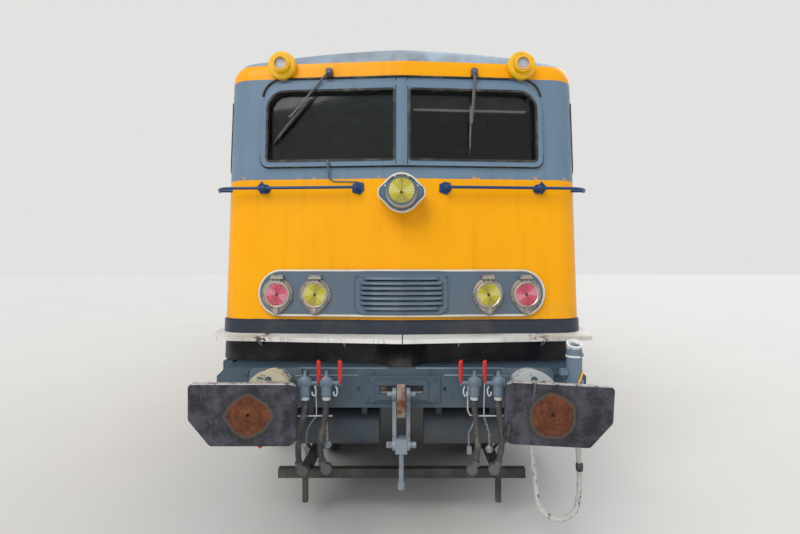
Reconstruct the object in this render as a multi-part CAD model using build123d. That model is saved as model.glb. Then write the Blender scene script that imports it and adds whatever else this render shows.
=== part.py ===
from build123d import *
import math
import os

# Electric locomotive with two cabs and two three-axle bogies, in millimetres.
# X is across the track, Y along it with the front at -Y, Z up from the lowest point of the wheel flanges.

# Driving dimensions: the vehicle
LENGTH_OVER_BUFFERS = 18952.0
FLANGE_DEPTH = 28.0
BOGIE_SPACING = 9295.0
AXLE_SPACING = 2422.5
FIT_GAP = 0.3
FRONT = -LENGTH_OVER_BUFFERS / 2

# Driving dimensions: the body
BODY_HALF_WIDTH = 1485.0
NOSE_SETBACK = 800.0
HEADSTOCK_SETBACK = 635.0
NOSE_SLOPE = 0.075
FACE_LEAN = 0.08
CORNER_HALF_WIDTH = 1366.0
CORNER_TUMBLE = 0.0104
SHOULDER_SETBACK = 1815.0
NOSE_RADIUS = 400.0
CORNER_RADIUS = 220.0
SHOULDER_RADIUS = 1500.0
BODY_BASE = 1221.0
LOFT_TOP = 3700.0
ROOF_CROWN = 3650.0
ROOF_RADIUS = 9000.0
ROOF_EDGE_RADIUS = 170.0
ROOF_SPLIT = 3512.0
ROOF_DEPTH = 90.0
WALL = 70.0
CAB_BACK = FRONT + 2976.0
PANEL_GAP = 4.0

# Driving dimensions: heights on the body, from the bottom up
APRON_TOP = 1396.0
FOOTBOARD_TOP = 1426.0
BASE_STRIP_TOP = 1519.0
SILL_BOTTOM = 991.0
DECK_Z = (1370.0, 1400.0)
CAB_FLOOR_TOP = 1460.0
WINDSCREEN_LOW = 2733.0
WINDSCREEN_HIGH = 3287.0


def block(x, y, z):
    """A box from three (low, high) pairs."""
    size = (x[1] - x[0], y[1] - y[0], z[1] - z[0])
    return Pos((x[0] + x[1]) / 2, (y[0] + y[1]) / 2, (z[0] + z[1]) / 2) * Box(*size)


def rod_x(radius, x, y, z):
    """A round bar along X, from x[0] to x[1]."""
    return Pos((x[0] + x[1]) / 2, y, z) * Rot(0, 90, 0) * Cylinder(radius, x[1] - x[0])


def rod_y(radius, x, y, z):
    """A round bar along Y, from y[0] to y[1]."""
    return Pos(x, (y[0] + y[1]) / 2, z) * Rot(90, 0, 0) * Cylinder(radius, y[1] - y[0])


def rod_z(radius, x, y, z):
    """A round bar along Z, from z[0] to z[1]."""
    return Pos(x, y, (z[0] + z[1]) / 2) * Cylinder(radius, z[1] - z[0])


def rod_between(radius, start, end):
    """A round bar between two points."""
    a = Vector(*start)
    b = Vector(*end)
    plane = Plane(origin=a, z_dir=b - a)
    return extrude(plane * Circle(radius), amount=(b - a).length)


def plate_xz(outline, y):
    """An outline drawn in X and Z, made solid from y[0] to y[1]."""
    face = make_face(outline)
    return extrude(Plane(origin=(0, y[0], 0), x_dir=(1, 0, 0), z_dir=(0, -1, 0)) * face, amount=y[0] - y[1])


def plate_yz(outline, x):
    """An outline drawn in Y and Z, made solid from x[0] to x[1]."""
    face = make_face(outline)
    return extrude(Plane(origin=(x[0], 0, 0), x_dir=(0, 1, 0), z_dir=(1, 0, 0)) * face, amount=x[1] - x[0])


def plate_xy(outline, z):
    """An outline drawn in X and Y, made solid from z[0] to z[1]."""
    return extrude(Pos(0, 0, z[0]) * make_face(outline), amount=z[1] - z[0])


def rounded(points, radius):
    """A closed outline with rounded corners."""
    return FilletPolyline(*points, radius=radius, close=True)


def solids_of(shapes):
    """Every solid in a list of shapes."""
    found = []
    for shape in shapes:
        found += list(shape.solids())
    return found


def at_both_sides(shapes):
    """The shapes and their mirror images across the centre plane."""
    return [s for s in solids_of(shapes)] + [mirror(s, about=Plane.YZ) for s in solids_of(shapes)]


def at_both_ends(shapes):
    """The shapes at the front and the same ones turned round to the rear."""
    return [s for s in solids_of(shapes)] + [Rot(0, 0, 180) * s for s in solids_of(shapes)]


def save(name, shapes):
    """Writes one node."""
    os.makedirs("parts", exist_ok=True)
    export_step(Compound(children=solids_of(shapes)), f"parts/{name}.step")


# The body envelope

def inset_points(points, distance):
    """A closed polygon moved inwards by a distance."""
    moved = []
    count = len(points)
    for i in range(count):
        lines = []
        for start, end in ((points[i - 1], points[i]), (points[i], points[(i + 1) % count])):
            dx = end[0] - start[0]
            dy = end[1] - start[1]
            length = math.hypot(dx, dy)
            offset_point = (start[0] - dy / length * distance, start[1] + dx / length * distance)
            lines.append((offset_point, (dx / length, dy / length)))
        (a, u), (b, v) = lines
        cross = u[0] * v[1] - u[1] * v[0]
        along = ((b[0] - a[0]) * v[1] - (b[1] - a[1]) * v[0]) / cross
        moved.append((a[0] + u[0] * along, a[1] + u[1] * along))
    return moved


def face_y(x, z):
    """Y of the prow front at a place across and up."""
    return FRONT + NOSE_SETBACK + FACE_LEAN * (z - BODY_BASE) + NOSE_SLOPE * abs(x)


def face_plane(x, z):
    """A plane on the prow front, its Z pointing outwards."""
    side = (x > 0) - (x < 0)
    return Plane(
        origin=(x, face_y(x, z), z),
        x_dir=(1, NOSE_SLOPE * side, 0),
        z_dir=(NOSE_SLOPE * side, -1, FACE_LEAN),
    )


def body_outline(z, inset):
    """The body's plan at a height."""
    rise = z - BODY_BASE
    corner_x = CORNER_HALF_WIDTH - CORNER_TUMBLE * rise
    nose = -face_y(0, z)
    corner = -face_y(CORNER_HALF_WIDTH, z)
    shoulder = -FRONT - SHOULDER_SETBACK
    # x, y, radius of each corner of the right-hand front quarter and of the nose
    front = [(0, -nose, NOSE_RADIUS)]
    right = [(corner_x, -corner, CORNER_RADIUS), (BODY_HALF_WIDTH, -shoulder, SHOULDER_RADIUS)]
    quarter = [(x, -y, r) for x, y, r in reversed(right)]
    rear = [(0, nose, NOSE_RADIUS)]
    left = [(-x, y, r) for x, y, r in reversed(right + quarter)]
    table = front + right + quarter + rear + left
    points = inset_points([(x, y) for x, y, r in table], inset)
    outline = FilletPolyline(*[(x, y, z) for x, y in points], radius=[r - inset for x, y, r in table], close=True)
    return Wire(outline.edges())


def roof_prism(crown):
    """Everything below a roof arc, as long as the vehicle."""
    half = BODY_HALF_WIDTH + WALL
    edge_z = crown - half ** 2 / (2 * ROOF_RADIUS)
    low = BODY_BASE - WALL
    sides = Polyline((-half, edge_z), (-half, low), (half, low), (half, edge_z))
    arc = ThreePointArc((-half, edge_z), (0, crown), (half, edge_z))
    return plate_xz(sides + arc, (FRONT, -FRONT))


def envelope(inset, roof_inset, edge_radius):
    """The body's outer or inner form, moved inwards by a distance."""
    walls = Solid.make_loft([body_outline(BODY_BASE, inset), body_outline(LOFT_TOP, inset)], ruled=True)
    form = walls & roof_prism(ROOF_CROWN - roof_inset)
    if edge_radius:
        roof_edges = [e for e in form.edges() if e.center().Z > ROOF_SPLIT - ROOF_DEPTH]
        form = fillet(roof_edges, edge_radius)
    return form


FRONT_ZONE = block((-2000, 2000), (FRONT, CAB_BACK), (0, 5000))
OUTER = envelope(0, 0, ROOF_EDGE_RADIUS)
INNER = envelope(WALL, ROOF_DEPTH, 0)
SHELL = OUTER - INNER
ROOM = envelope(WALL + FIT_GAP, ROOF_DEPTH + FIT_GAP, 0)


def skin(inset, thickness):
    """A conforming skin of the walls near the front end, inset from the outer form."""
    return (envelope(inset, 0, 0) - envelope(inset + thickness, 0, 0)) & FRONT_ZONE


# Openings in the walls

# Windscreens: the opening from PILLAR_HALF to SCREEN_HALF on each side
PILLAR_HALF = 57.0
SCREEN_HALF = 1045.0
SCREEN_TOP_RADIUS = 140.0
SCREEN_LOW_RADIUS = 25.0
FRAME_PROUD = 25.0
GLASS_THICK = 10.0
GLASS_INSET = 22.0


def windscreen_outline(side, margin):
    """One windscreen's outline, with a larger outer top corner."""
    inner = side * (PILLAR_HALF + margin)
    outer = side * (SCREEN_HALF - margin)
    low = WINDSCREEN_LOW + margin
    high = WINDSCREEN_HIGH - margin
    points = [(inner, low), (outer, low), (outer, high), (inner, high)]
    return rounded(points, [SCREEN_LOW_RADIUS, SCREEN_LOW_RADIUS * 2, SCREEN_TOP_RADIUS, SCREEN_LOW_RADIUS])


def windscreen_prism(side, margin):
    """A windscreen's outline cut through the front."""
    return plate_xz(windscreen_outline(side, margin), (FRONT, CAB_BACK - 1000))


# Cab side windows and doors, as distances back from the buffer faces
SIDE_WINDOW_Y = (1180.0, 1800.0)
SIDE_WINDOW_Z = (2680.0, 3240.0)
DOOR_Y = (2060.0, 2690.0)
DOOR_Z = (1475.0, 3260.0)
DOOR_GAP = 8.0
DOOR_THICK = 50.0
DOOR_WINDOW_MARGIN = 110.0
DOOR_WINDOW_LOW = 2560.0
WINDOW_RADIUS = 60.0


def side_opening(y, z, radius):
    """A rounded opening through both side walls, near the front end."""
    y_low = FRONT + y[0]
    y_high = FRONT + y[1]
    outline = rounded([(y_low, z[0]), (y_high, z[0]), (y_high, z[1]), (y_low, z[1])], radius)
    return plate_yz(outline, (-2000, 2000))


# Machine-room bays: windows and grilles alternate along each side
BAY_COUNT = 9
BAY_PITCH = 1290.0
BAY_Z = (2640.0, 3200.0)
GRILLE_LENGTH = 1060.0
BAY_WINDOW_LENGTH = 800.0
BLADE_PITCH = 70.0
BLADE_DEPTH = 62.0
BLADE_THICK = 8.0
BLADE_TILT = 35.0


def bay_centres(grilles):
    """Y of every grille bay, or of every window bay."""
    first = -(BAY_COUNT - 1) / 2 * BAY_PITCH
    start = 0 if grilles else 1
    return [first + i * BAY_PITCH for i in range(start, BAY_COUNT, 2)]


def bay_opening(y, length):
    """A rounded opening through both side walls at one bay."""
    low, high = BAY_Z
    outline = rounded(
        [(y - length / 2, low), (y + length / 2, low), (y + length / 2, high), (y - length / 2, high)],
        WINDOW_RADIUS,
    )
    return plate_yz(outline, (-2000, 2000))


def make_cabs():
    """Both cab shells: hollow, with windscreens, side windows and door openings."""
    cab = SHELL & block((-2000, 2000), (FRONT, CAB_BACK), (BODY_BASE, ROOF_SPLIT))
    for side in (-1, 1):
        cab -= windscreen_prism(side, 0)
    cab -= side_opening(SIDE_WINDOW_Y, SIDE_WINDOW_Z, WINDOW_RADIUS)
    cab -= side_opening(DOOR_Y, DOOR_Z, WINDOW_RADIUS / 3)
    cab = cab + base_strip() + coupler_fairing()
    for bracket in at_both_sides(hinge_brackets()):
        cab += bracket
    save("cab_front", [cab])
    save("cab_rear", [Rot(0, 0, 180) * cab])


def make_side_walls():
    """Machine-room side walls with windows and louvred grilles."""
    walls = SHELL & block((-2000, 2000), (CAB_BACK, -CAB_BACK), (BODY_BASE, ROOF_SPLIT))
    for y in bay_centres(False):
        walls -= bay_opening(y, BAY_WINDOW_LENGTH)
    blade_x = BODY_HALF_WIDTH - WALL / 2
    blade_count = int((BAY_Z[1] - BAY_Z[0]) / BLADE_PITCH)
    first = (BAY_Z[0] + BAY_Z[1]) / 2 - (blade_count - 1) / 2 * BLADE_PITCH
    blades = []
    for y in bay_centres(True):
        walls -= bay_opening(y, GRILLE_LENGTH)
        for i in range(blade_count):
            blade = Pos(blade_x, y, first + i * BLADE_PITCH) * Rot(0, BLADE_TILT, 0)
            blades.append(blade * Box(BLADE_DEPTH, GRILLE_LENGTH + 20, BLADE_THICK))
    walls += at_both_sides(blades)
    save("side_walls", [walls])


ROOF_CUTS = (-2180.0, 2180.0)


def make_roof():
    """Cab roofs and three removable hatches, with gaps between them."""
    cuts = (FRONT, CAB_BACK) + ROOF_CUTS + (-CAB_BACK, -FRONT)
    panels = []
    for start, end in zip(cuts, cuts[1:]):
        zone = block((-2000, 2000), (start + PANEL_GAP / 2, end - PANEL_GAP / 2), (ROOF_SPLIT, LOFT_TOP))
        panels.append(SHELL & zone)
    save("roof_panels", panels)


PARTITION = 60.0


def make_partitions():
    """The floor and rear wall of each cab, one piece."""
    back = block((-2000, 2000), (CAB_BACK - PARTITION, CAB_BACK), (DECK_Z[1], LOFT_TOP))
    floor_zone = block((-2000, 2000), (FRONT, CAB_BACK), (DECK_Z[1], CAB_FLOOR_TOP))
    save("cab_partitions", at_both_ends([ROOM & (back + floor_zone)]))


def make_machine_block():
    """The heavy machine-room equipment as one plain block."""
    save("machine_block", [block((-850, 850), (-4800, 4800), (DECK_Z[1], 3150))])


DESK_DEPTH = 560.0
DESK_TOP = 2420.0
SEAT_SETBACK = 1950.0
SEAT_X = (-620.0, 620.0)


def make_cab_fittings():
    """Driver's desks along the front wall, and two seats in each cab."""
    desk_back = face_y(0, DESK_TOP) + WALL + DESK_DEPTH
    desk = ROOM & block((-1180, 1180), (FRONT, desk_back), (CAB_FLOOR_TOP, DESK_TOP))
    knee_y = (desk_back - DESK_DEPTH * 0.55, desk_back)
    knee_room = block((-1100, 1100), knee_y, (CAB_FLOOR_TOP, DESK_TOP - 160))
    desk -= knee_room
    save("cab_desks", at_both_ends([desk]))
    seats = []
    for x in SEAT_X:
        y = FRONT + SEAT_SETBACK
        stem = rod_z(45, x, y, (CAB_FLOOR_TOP, 1920))
        cushion = block((x - 220, x + 220), (y - 210, y + 210), (1920, 2000))
        backrest = block((x - 210, x + 210), (y + 150, y + 210), (2000, 2480))
        seats.append(stem + cushion + backrest)
    save("cab_seats", at_both_ends(seats))


def make_glass():
    """Windscreens, cab side windows and machine-room windows."""
    screen_skin = skin(GLASS_INSET, GLASS_THICK)
    panes = []
    for side in (-1, 1):
        panes.append(screen_skin & windscreen_prism(side, FIT_GAP))
    y = (SIDE_WINDOW_Y[0] + FIT_GAP, SIDE_WINDOW_Y[1] - FIT_GAP)
    z = (SIDE_WINDOW_Z[0] + FIT_GAP, SIDE_WINDOW_Z[1] - FIT_GAP)
    panes.append(screen_skin & side_opening(y, z, WINDOW_RADIUS - FIT_GAP))
    panes = at_both_ends(panes)
    pane_x = BODY_HALF_WIDTH - GLASS_INSET
    for y in bay_centres(False):
        opening = bay_opening(y, BAY_WINDOW_LENGTH - 2 * FIT_GAP)
        pane_z = (BAY_Z[0] + FIT_GAP, BAY_Z[1] - FIT_GAP)
        pane = opening & block((pane_x - GLASS_THICK, pane_x), (FRONT, -FRONT), pane_z)
        panes += at_both_sides([pane])
    save("window_glass", panes)


FRAME_SIDE = 42.0
FRAME_OUTER_RADIUS = 205.0
FRAME_LOW_RADIUS = 60.0


def front_piece(outline, proud):
    """A piece that stands proud of the prow front, bounded by an outline in X and Z."""
    prism = plate_xz(outline, (FRONT, FRONT + SHOULDER_SETBACK))
    return (envelope(-proud, 0, 0) & prism) - OUTER


def make_windscreen_frames():
    """The proud frame round both windscreens of each cab."""
    half = SCREEN_HALF + FRAME_SIDE
    low = WINDSCREEN_LOW - FRAME_SIDE
    high = WINDSCREEN_HIGH + FRAME_SIDE + 18
    points = [(-half, low), (half, low), (half, high), (-half, high)]
    radii = [FRAME_LOW_RADIUS, FRAME_LOW_RADIUS, FRAME_OUTER_RADIUS, FRAME_OUTER_RADIUS]
    frame = front_piece(rounded(points, radii), FRAME_PROUD)
    for side in (-1, 1):
        frame -= windscreen_prism(side, 0)
    save("windscreen_frames", at_both_ends([frame]))


# Light panel, louvre, lamps
PANEL_Z = (1556.0, 1902.0)
PANEL_HALF = 1077.0
PANEL_PROUD = 22.0
LOUVRE_Z = (1571.0, 1894.0)
LOUVRE_HALF = 336.0
LOUVRE_PROUD = 34.0
SLOT_COUNT = 7
SLOT_PITCH = 37.0
SLOT_HEIGHT = 17.0
LAMP_X = (-930.0, -644.0, 644.0, 930.0)
LAMP_Z = 1718.0
LENS_RADIUS = 86.0
BEZEL_RADIUS = 118.0
BEZEL_REACH = 148.0
BEZEL_TIP = 24.0
BEZEL_DEPTH = 62.0
HINGE_TAB = (88.0, 34.0, 74.0)
HINGE_TAB_RISE = 124.0
LATCH = (36.0, 46.0, 84.0)
LATCH_DROP = 122.0
HEADLIGHT_Z = 2462.0
HEADLIGHT_LENS = 94.0
HEADLIGHT_HOUSING = 136.0
HEADLIGHT_REACH = 166.0
HEADLIGHT_DEPTH = 190.0
LAMP_SEAT = 20.0
LAMP_CHAMFER = 12.0
RING_WIDTH = 13.0
RING_PROUD = 16.0
LENS_REBATE = 12.0
LENS_THICKNESS = 9.0
ROOF_LAMP_X = 930.0
ROOF_LAMP_Z = 3485.0
ROOF_LAMP_RADIUS = 108.0
ROOF_LAMP_DEPTH = 60.0
ROOF_RING_RADIUS = 66.0
ROOF_RING_PROUD = 34.0
ROOF_LENS_RADIUS = 46.0


def make_light_panels():
    """Stadium-shaped light panels with a raised louvre in the middle."""
    low, high = PANEL_Z
    points = [(-PANEL_HALF, low), (PANEL_HALF, low), (PANEL_HALF, high), (-PANEL_HALF, high)]
    panel = front_piece(rounded(points, (high - low) / 2 - 1), PANEL_PROUD)
    low, high = LOUVRE_Z
    points = [(-LOUVRE_HALF, low), (LOUVRE_HALF, low), (LOUVRE_HALF, high), (-LOUVRE_HALF, high)]
    louvre = front_piece(rounded(points, 70), LOUVRE_PROUD)
    middle = (low + high) / 2
    for i in range(SLOT_COUNT):
        z = middle + (i - (SLOT_COUNT - 1) / 2) * SLOT_PITCH
        louvre -= block(
            (-LOUVRE_HALF + 50, LOUVRE_HALF - 50),
            (FRONT, face_y(0, z) - PANEL_PROUD / 2),
            (z - SLOT_HEIGHT / 2, z + SLOT_HEIGHT / 2),
        )
    save("light_panels", at_both_ends([panel + louvre]))


def teardrop(radius, reach, half):
    """A circle drawn out downwards to a short flat tip."""
    tangent = math.acos(radius / (reach + radius * 0.2))
    x = radius * math.sin(tangent)
    y = -radius * math.cos(tangent)
    return Circle(radius) + make_face(Polyline((-x, y), (x, y), (half, -reach), (-half, -reach), (-x, y)))


def eye(radius, reach, half):
    """A circle drawn out to both sides."""
    tangent = math.acos(radius / (reach + radius * 0.2))
    x = radius * math.cos(tangent)
    y = radius * math.sin(tangent)
    right = [(x, y), (reach, half), (reach, -half), (x, -y)]
    points = right + [(-a, -b) for a, b in right]
    return Circle(radius) + make_face(Polyline(*points, points[0]))


def lamp(plane, lens_radius, outline, depth, fittings, base):
    """One lamp's housing with a raised ring round its lens, and the lens, as two pieces."""
    body = extrude(plane.offset(-LAMP_SEAT) * outline, amount=depth - RING_PROUD + LAMP_SEAT)
    body = chamfer(body.faces().sort_by(Axis.Y)[0].edges(), LAMP_CHAMFER)
    body += extrude(plane * Circle(lens_radius + RING_WIDTH), amount=depth)
    for fitting in fittings:
        body += fitting
    rebate = depth - LENS_REBATE
    body -= extrude(plane.offset(rebate) * Circle(lens_radius), amount=LENS_REBATE + 5)
    lens = extrude(plane.offset(rebate + FIT_GAP) * Circle(lens_radius - FIT_GAP), amount=LENS_THICKNESS)
    return body - base, lens


def marker_lamp(x, base):
    """A marker lamp with its hinge above and its pointed latch below."""
    plane = face_plane(x, LAMP_Z)
    outline = teardrop(BEZEL_RADIUS, BEZEL_REACH, BEZEL_TIP)
    seat = (Align.CENTER, Align.CENTER, Align.MIN)
    hinge = plane.offset(-LAMP_SEAT) * Pos(0, HINGE_TAB_RISE, 0) * Box(*HINGE_TAB, align=seat)
    latch = plane.offset(-LAMP_SEAT) * Pos(0, -LATCH_DROP, 0) * Box(*LATCH, align=seat)
    return lamp(plane, LENS_RADIUS, outline, BEZEL_DEPTH, (hinge, latch), base)


def make_lamps():
    """Marker lamps on the light panel, the centre headlight and the roof lamps."""
    housings = []
    lenses = []
    panel_form = envelope(-PANEL_PROUD, 0, 0)
    for x in LAMP_X:
        housing, lens = marker_lamp(x, panel_form)
        housings.append(housing)
        lenses.append(lens)
    plane = face_plane(0, HEADLIGHT_Z)
    outline = eye(HEADLIGHT_HOUSING, HEADLIGHT_REACH, BEZEL_TIP)
    housing, lens = lamp(plane, HEADLIGHT_LENS, outline, HEADLIGHT_DEPTH, (), OUTER)
    housings.append(housing)
    lenses.append(lens)
    for side in (-1, 1):
        x = side * ROOF_LAMP_X
        y = face_y(x, ROOF_LAMP_Z)
        front = y - ROOF_LAMP_DEPTH
        body = rod_y(ROOF_LAMP_RADIUS, x, (front, y + 240), ROOF_LAMP_Z)
        body = chamfer(body.faces().sort_by(Axis.Y)[0].edges(), LAMP_CHAMFER)
        body += rod_y(ROOF_RING_RADIUS, x, (front - ROOF_RING_PROUD, front + 1), ROOF_LAMP_Z)
        body -= rod_y(ROOF_LENS_RADIUS, x, (front - ROOF_RING_PROUD - 5, front), ROOF_LAMP_Z)
        housings.append(body - OUTER)
        lens_y = (front - ROOF_RING_PROUD + LENS_REBATE, front - FIT_GAP)
        lenses.append(rod_y(ROOF_LENS_RADIUS - FIT_GAP, x, lens_y, ROOF_LAMP_Z))
    save("lamp_housings", at_both_ends(housings))
    save("lamp_lenses", at_both_ends(lenses))


# Footboard and base strip
FOOTBOARD_FRONT = 570.0
FOOTBOARD_CORNER = (1387.0, 730.0)
FOOTBOARD_END = (1461.0, 1230.0)
STRIP_PROUD = 12.0
FAIRING_HALF = 230.0
FAIRING_TIP = 70.0


def make_footboards():
    """The chequered footboard that wraps round each cab front, with its brackets."""
    corner_x, corner_y = FOOTBOARD_CORNER
    end_x, end_y = FOOTBOARD_END
    outline = [(0, FRONT + FOOTBOARD_FRONT), (corner_x, FRONT + corner_y), (end_x, FRONT + end_y)]
    outline += [(-end_x, FRONT + end_y), (-corner_x, FRONT + corner_y)]
    radii = [300, 90, 5, 5, 90]
    board = plate_xy(rounded(outline, radii), (APRON_TOP, FOOTBOARD_TOP)) - OUTER
    for x in (-1050, -420, 420, 1050):
        y = face_y(x, APRON_TOP)
        rib = plate_yz(Polyline((y - 150, APRON_TOP), (y + 60, APRON_TOP), (y + 60, 1300), (y - 150, APRON_TOP)),
                       (x - 5, x + 5))
        board += rib - OUTER
    save("footboards", at_both_ends([board]))


def base_strip():
    """The dark strip at the foot of the face, which wraps round to the cab doors."""
    zone = block((-2000, 2000), (FRONT, FRONT + DOOR_Y[0] - 60), (FOOTBOARD_TOP, BASE_STRIP_TOP))
    return (envelope(-STRIP_PROUD, 0, 0) & zone) - OUTER


def coupler_fairing():
    """The wedge of the apron that runs out over the drawhook."""
    root_y = face_y(FAIRING_HALF, BODY_BASE) + WALL / 2
    sections = []
    for z, half, tip_y in ((BODY_BASE, FAIRING_TIP, FRONT + HEADSTOCK_SETBACK + 6),
                           (APRON_TOP, FAIRING_TIP, face_y(0, APRON_TOP) - 25)):
        points = [(-FAIRING_HALF, root_y), (-half, tip_y), (half, tip_y), (FAIRING_HALF, root_y)]
        sections.append(Pos(0, 0, z) * make_face(Polyline(*points, points[0])))
    return loft(sections) - OUTER


# Doors
HINGE_X = BODY_HALF_WIDTH - DOOR_THICK - 5.0
HINGE_Y = FRONT + DOOR_Y[1] - DOOR_GAP - 4.0
HINGE_Z = (DOOR_Z[0] + 260.0, DOOR_Z[1] - 260.0)
KNUCKLE_HALF = 60.0
KNUCKLE_RADIUS = 8.0
HINGE_PIN = 4.0
HINGE_EAR = 16.0


def hinge_brackets():
    """The two ears and the pin of each door hinge on the right-hand door frame."""
    pieces = []
    for z in HINGE_Z:
        reach = KNUCKLE_HALF + 1 + HINGE_EAR
        shape = rod_z(HINGE_PIN, HINGE_X, HINGE_Y, (z - reach, z + reach))
        for low in (z - reach, z + reach - HINGE_EAR):
            shape += rod_z(KNUCKLE_RADIUS, HINGE_X, HINGE_Y, (low, low + HINGE_EAR))
            ear_y = (HINGE_Y, FRONT + DOOR_Y[1] + 4)
            shape += block((HINGE_X - 8, HINGE_X + 8), ear_y, (low, low + HINGE_EAR))
        pieces.append(shape)
    return pieces


def door_leaf():
    """The front right door, hinged at its rear edge and opening inwards."""
    y_low = FRONT + DOOR_Y[0] + DOOR_GAP
    y_high = FRONT + DOOR_Y[1] - DOOR_GAP
    z_low = DOOR_Z[0] + DOOR_GAP
    z_high = DOOR_Z[1] - DOOR_GAP
    leaf = block((BODY_HALF_WIDTH - DOOR_THICK, BODY_HALF_WIDTH), (y_low, y_high), (z_low, z_high))
    side = DOOR_WINDOW_MARGIN
    low = DOOR_WINDOW_LOW
    high = z_high - side
    outline = rounded([(y_low + side, low), (y_high - side, low), (y_high - side, high), (y_low + side, high)],
                      WINDOW_RADIUS)
    leaf -= plate_yz(outline, (0, 2000))
    for z in HINGE_Z:
        reach = KNUCKLE_HALF + 1 + HINGE_EAR + 3
        leaf -= rod_z(KNUCKLE_RADIUS + 5, HINGE_X, HINGE_Y, (z - reach, z + reach))
        knuckle = rod_z(KNUCKLE_RADIUS, HINGE_X, HINGE_Y, (z - KNUCKLE_HALF, z + KNUCKLE_HALF))
        knuckle += block((HINGE_X, HINGE_X + 20), (HINGE_Y - 20, HINGE_Y), (z - KNUCKLE_HALF, z + KNUCKLE_HALF))
        leaf += knuckle - rod_z(HINGE_PIN + FIT_GAP, HINGE_X, HINGE_Y, (z - reach, z + reach))
    return leaf


def make_doors():
    """The four cab side doors."""
    leaf = door_leaf()
    mirrored = mirror(leaf, about=Plane.YZ)
    save("door_front_right", [leaf])
    save("door_front_left", [mirrored])
    save("door_rear_left", [Rot(0, 0, 180) * leaf])
    save("door_rear_right", [Rot(0, 0, 180) * mirrored])


# Handrails and steps
RAIL_RADIUS = 11.0
RAIL_Z = 2520.0
RAIL_STANDOFF = 70.0
RAIL_END_STANDOFF = 14.0
RAIL_FLANGE = 36.0
RAIL_KNOB = 22.0
DOOR_RAIL_STANDOFF = 50.0


def make_handrails():
    """Front handrails that turn round the corners, and upright rails beside the doors."""
    rails = []
    inner_x = 325.0
    outer_x = 1045.0
    wrap = FRONT + 1120.0
    wrap_x = BODY_HALF_WIDTH - 50
    points = [
        (inner_x, face_y(inner_x, RAIL_Z) - RAIL_STANDOFF, RAIL_Z),
        (1395, face_y(1395, RAIL_Z) - RAIL_STANDOFF, RAIL_Z),
        (wrap_x + RAIL_END_STANDOFF, wrap, RAIL_Z),
    ]
    path = FilletPolyline(*points, radius=150)
    rail = sweep(Plane(origin=path @ 0, z_dir=path % 0) * Circle(RAIL_RADIUS), path=path)
    for x in (inner_x + 12, outer_x):
        y = face_y(x, RAIL_Z)
        rail += rod_y(RAIL_RADIUS, x, (y - RAIL_STANDOFF, y + 5), RAIL_Z)
        rail += rod_y(RAIL_FLANGE, x, (y - 14, y + 14), RAIL_Z)
        rail += Pos(x, y - RAIL_STANDOFF, RAIL_Z) * Sphere(RAIL_KNOB)
    end_y = wrap - 40
    rail += rod_x(RAIL_RADIUS, (BODY_HALF_WIDTH - 190, wrap_x + RAIL_END_STANDOFF - 3), end_y, RAIL_Z)
    rails.append(rail - OUTER)
    for edge in (DOOR_Y[0] - 75, DOOR_Y[1] + 75):
        y = FRONT + edge
        x = BODY_HALF_WIDTH + DOOR_RAIL_STANDOFF
        upright = rod_z(RAIL_RADIUS, x, y, (1560, 2500))
        for z in (1590, 2470):
            upright += rod_x(RAIL_RADIUS, (BODY_HALF_WIDTH, x), y, z)
        rails.append(upright)
    save("handrails", at_both_ends(at_both_sides(rails)))


STEP_X = (1345.0, 1473.0)
STEP_Z = (450.0, 700.0, 950.0)


def make_steps():
    """Steps below each cab door, hung from the sill."""
    y_low = FRONT + DOOR_Y[0] - 10
    y_high = FRONT + DOOR_Y[1] + 10
    ladder = block(STEP_X, (y_low, y_low + 10), (STEP_Z[0] - 40, SILL_BOTTOM))
    ladder += block(STEP_X, (y_high - 10, y_high), (STEP_Z[0] - 40, SILL_BOTTOM))
    for z in STEP_Z:
        ladder += block(STEP_X, (y_low, y_high), (z - 30, z))
    save("cab_steps", at_both_ends(at_both_sides([ladder])))


# Underframe
HEADSTOCK_DEPTH = 260.0
HEADSTOCK_HALF = 1295.0
HEADSTOCK_BOTTOM = 941.0
HOOK_SEAT = 760.0
COUPLING_Z = 1075.0
COUPLING_PLATE = 18.0
COUPLING_SLOT = (154.0, 45.0)
SILL_X = (1330.0, 1473.0)
CENTRE_SILL_X = (240.0, 340.0)
CROSS_BEAM_Y = (0.0, 1150.0, 3436.0, 5859.0, 8050.0)
BEARING_FACE = 980.0
PIVOT_PIN = 90.0
PIVOT_PLATE = 220.0
PIVOT_BOTTOM = 935.0
BEARER_X = (990.0, 1130.0)
BEARER_HALF = 170.0


def headstock():
    """One end beam with its coupling plate and slot."""
    y = FRONT + HEADSTOCK_SETBACK
    beam = block((-HEADSTOCK_HALF, HEADSTOCK_HALF), (y, y + HEADSTOCK_DEPTH), (HEADSTOCK_BOTTOM, BODY_BASE))
    top_edges = beam.edges().filter_by(Axis.Y).group_by(Axis.Z)[-1]
    beam = chamfer(top_edges, 60)
    low, high = COUPLING_Z - 93, COUPLING_Z + 93
    beam += plate_xz(rounded([(-267, low), (267, low), (267, high), (-267, high)], 10), (y - COUPLING_PLATE, y))
    half_x, half_z = COUPLING_SLOT
    slot = block(
        (-half_x, half_x),
        (y - COUPLING_PLATE - 1, FRONT + HOOK_SEAT),
        (COUPLING_Z - half_z, COUPLING_Z + half_z),
    )
    return beam - slot


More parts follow.
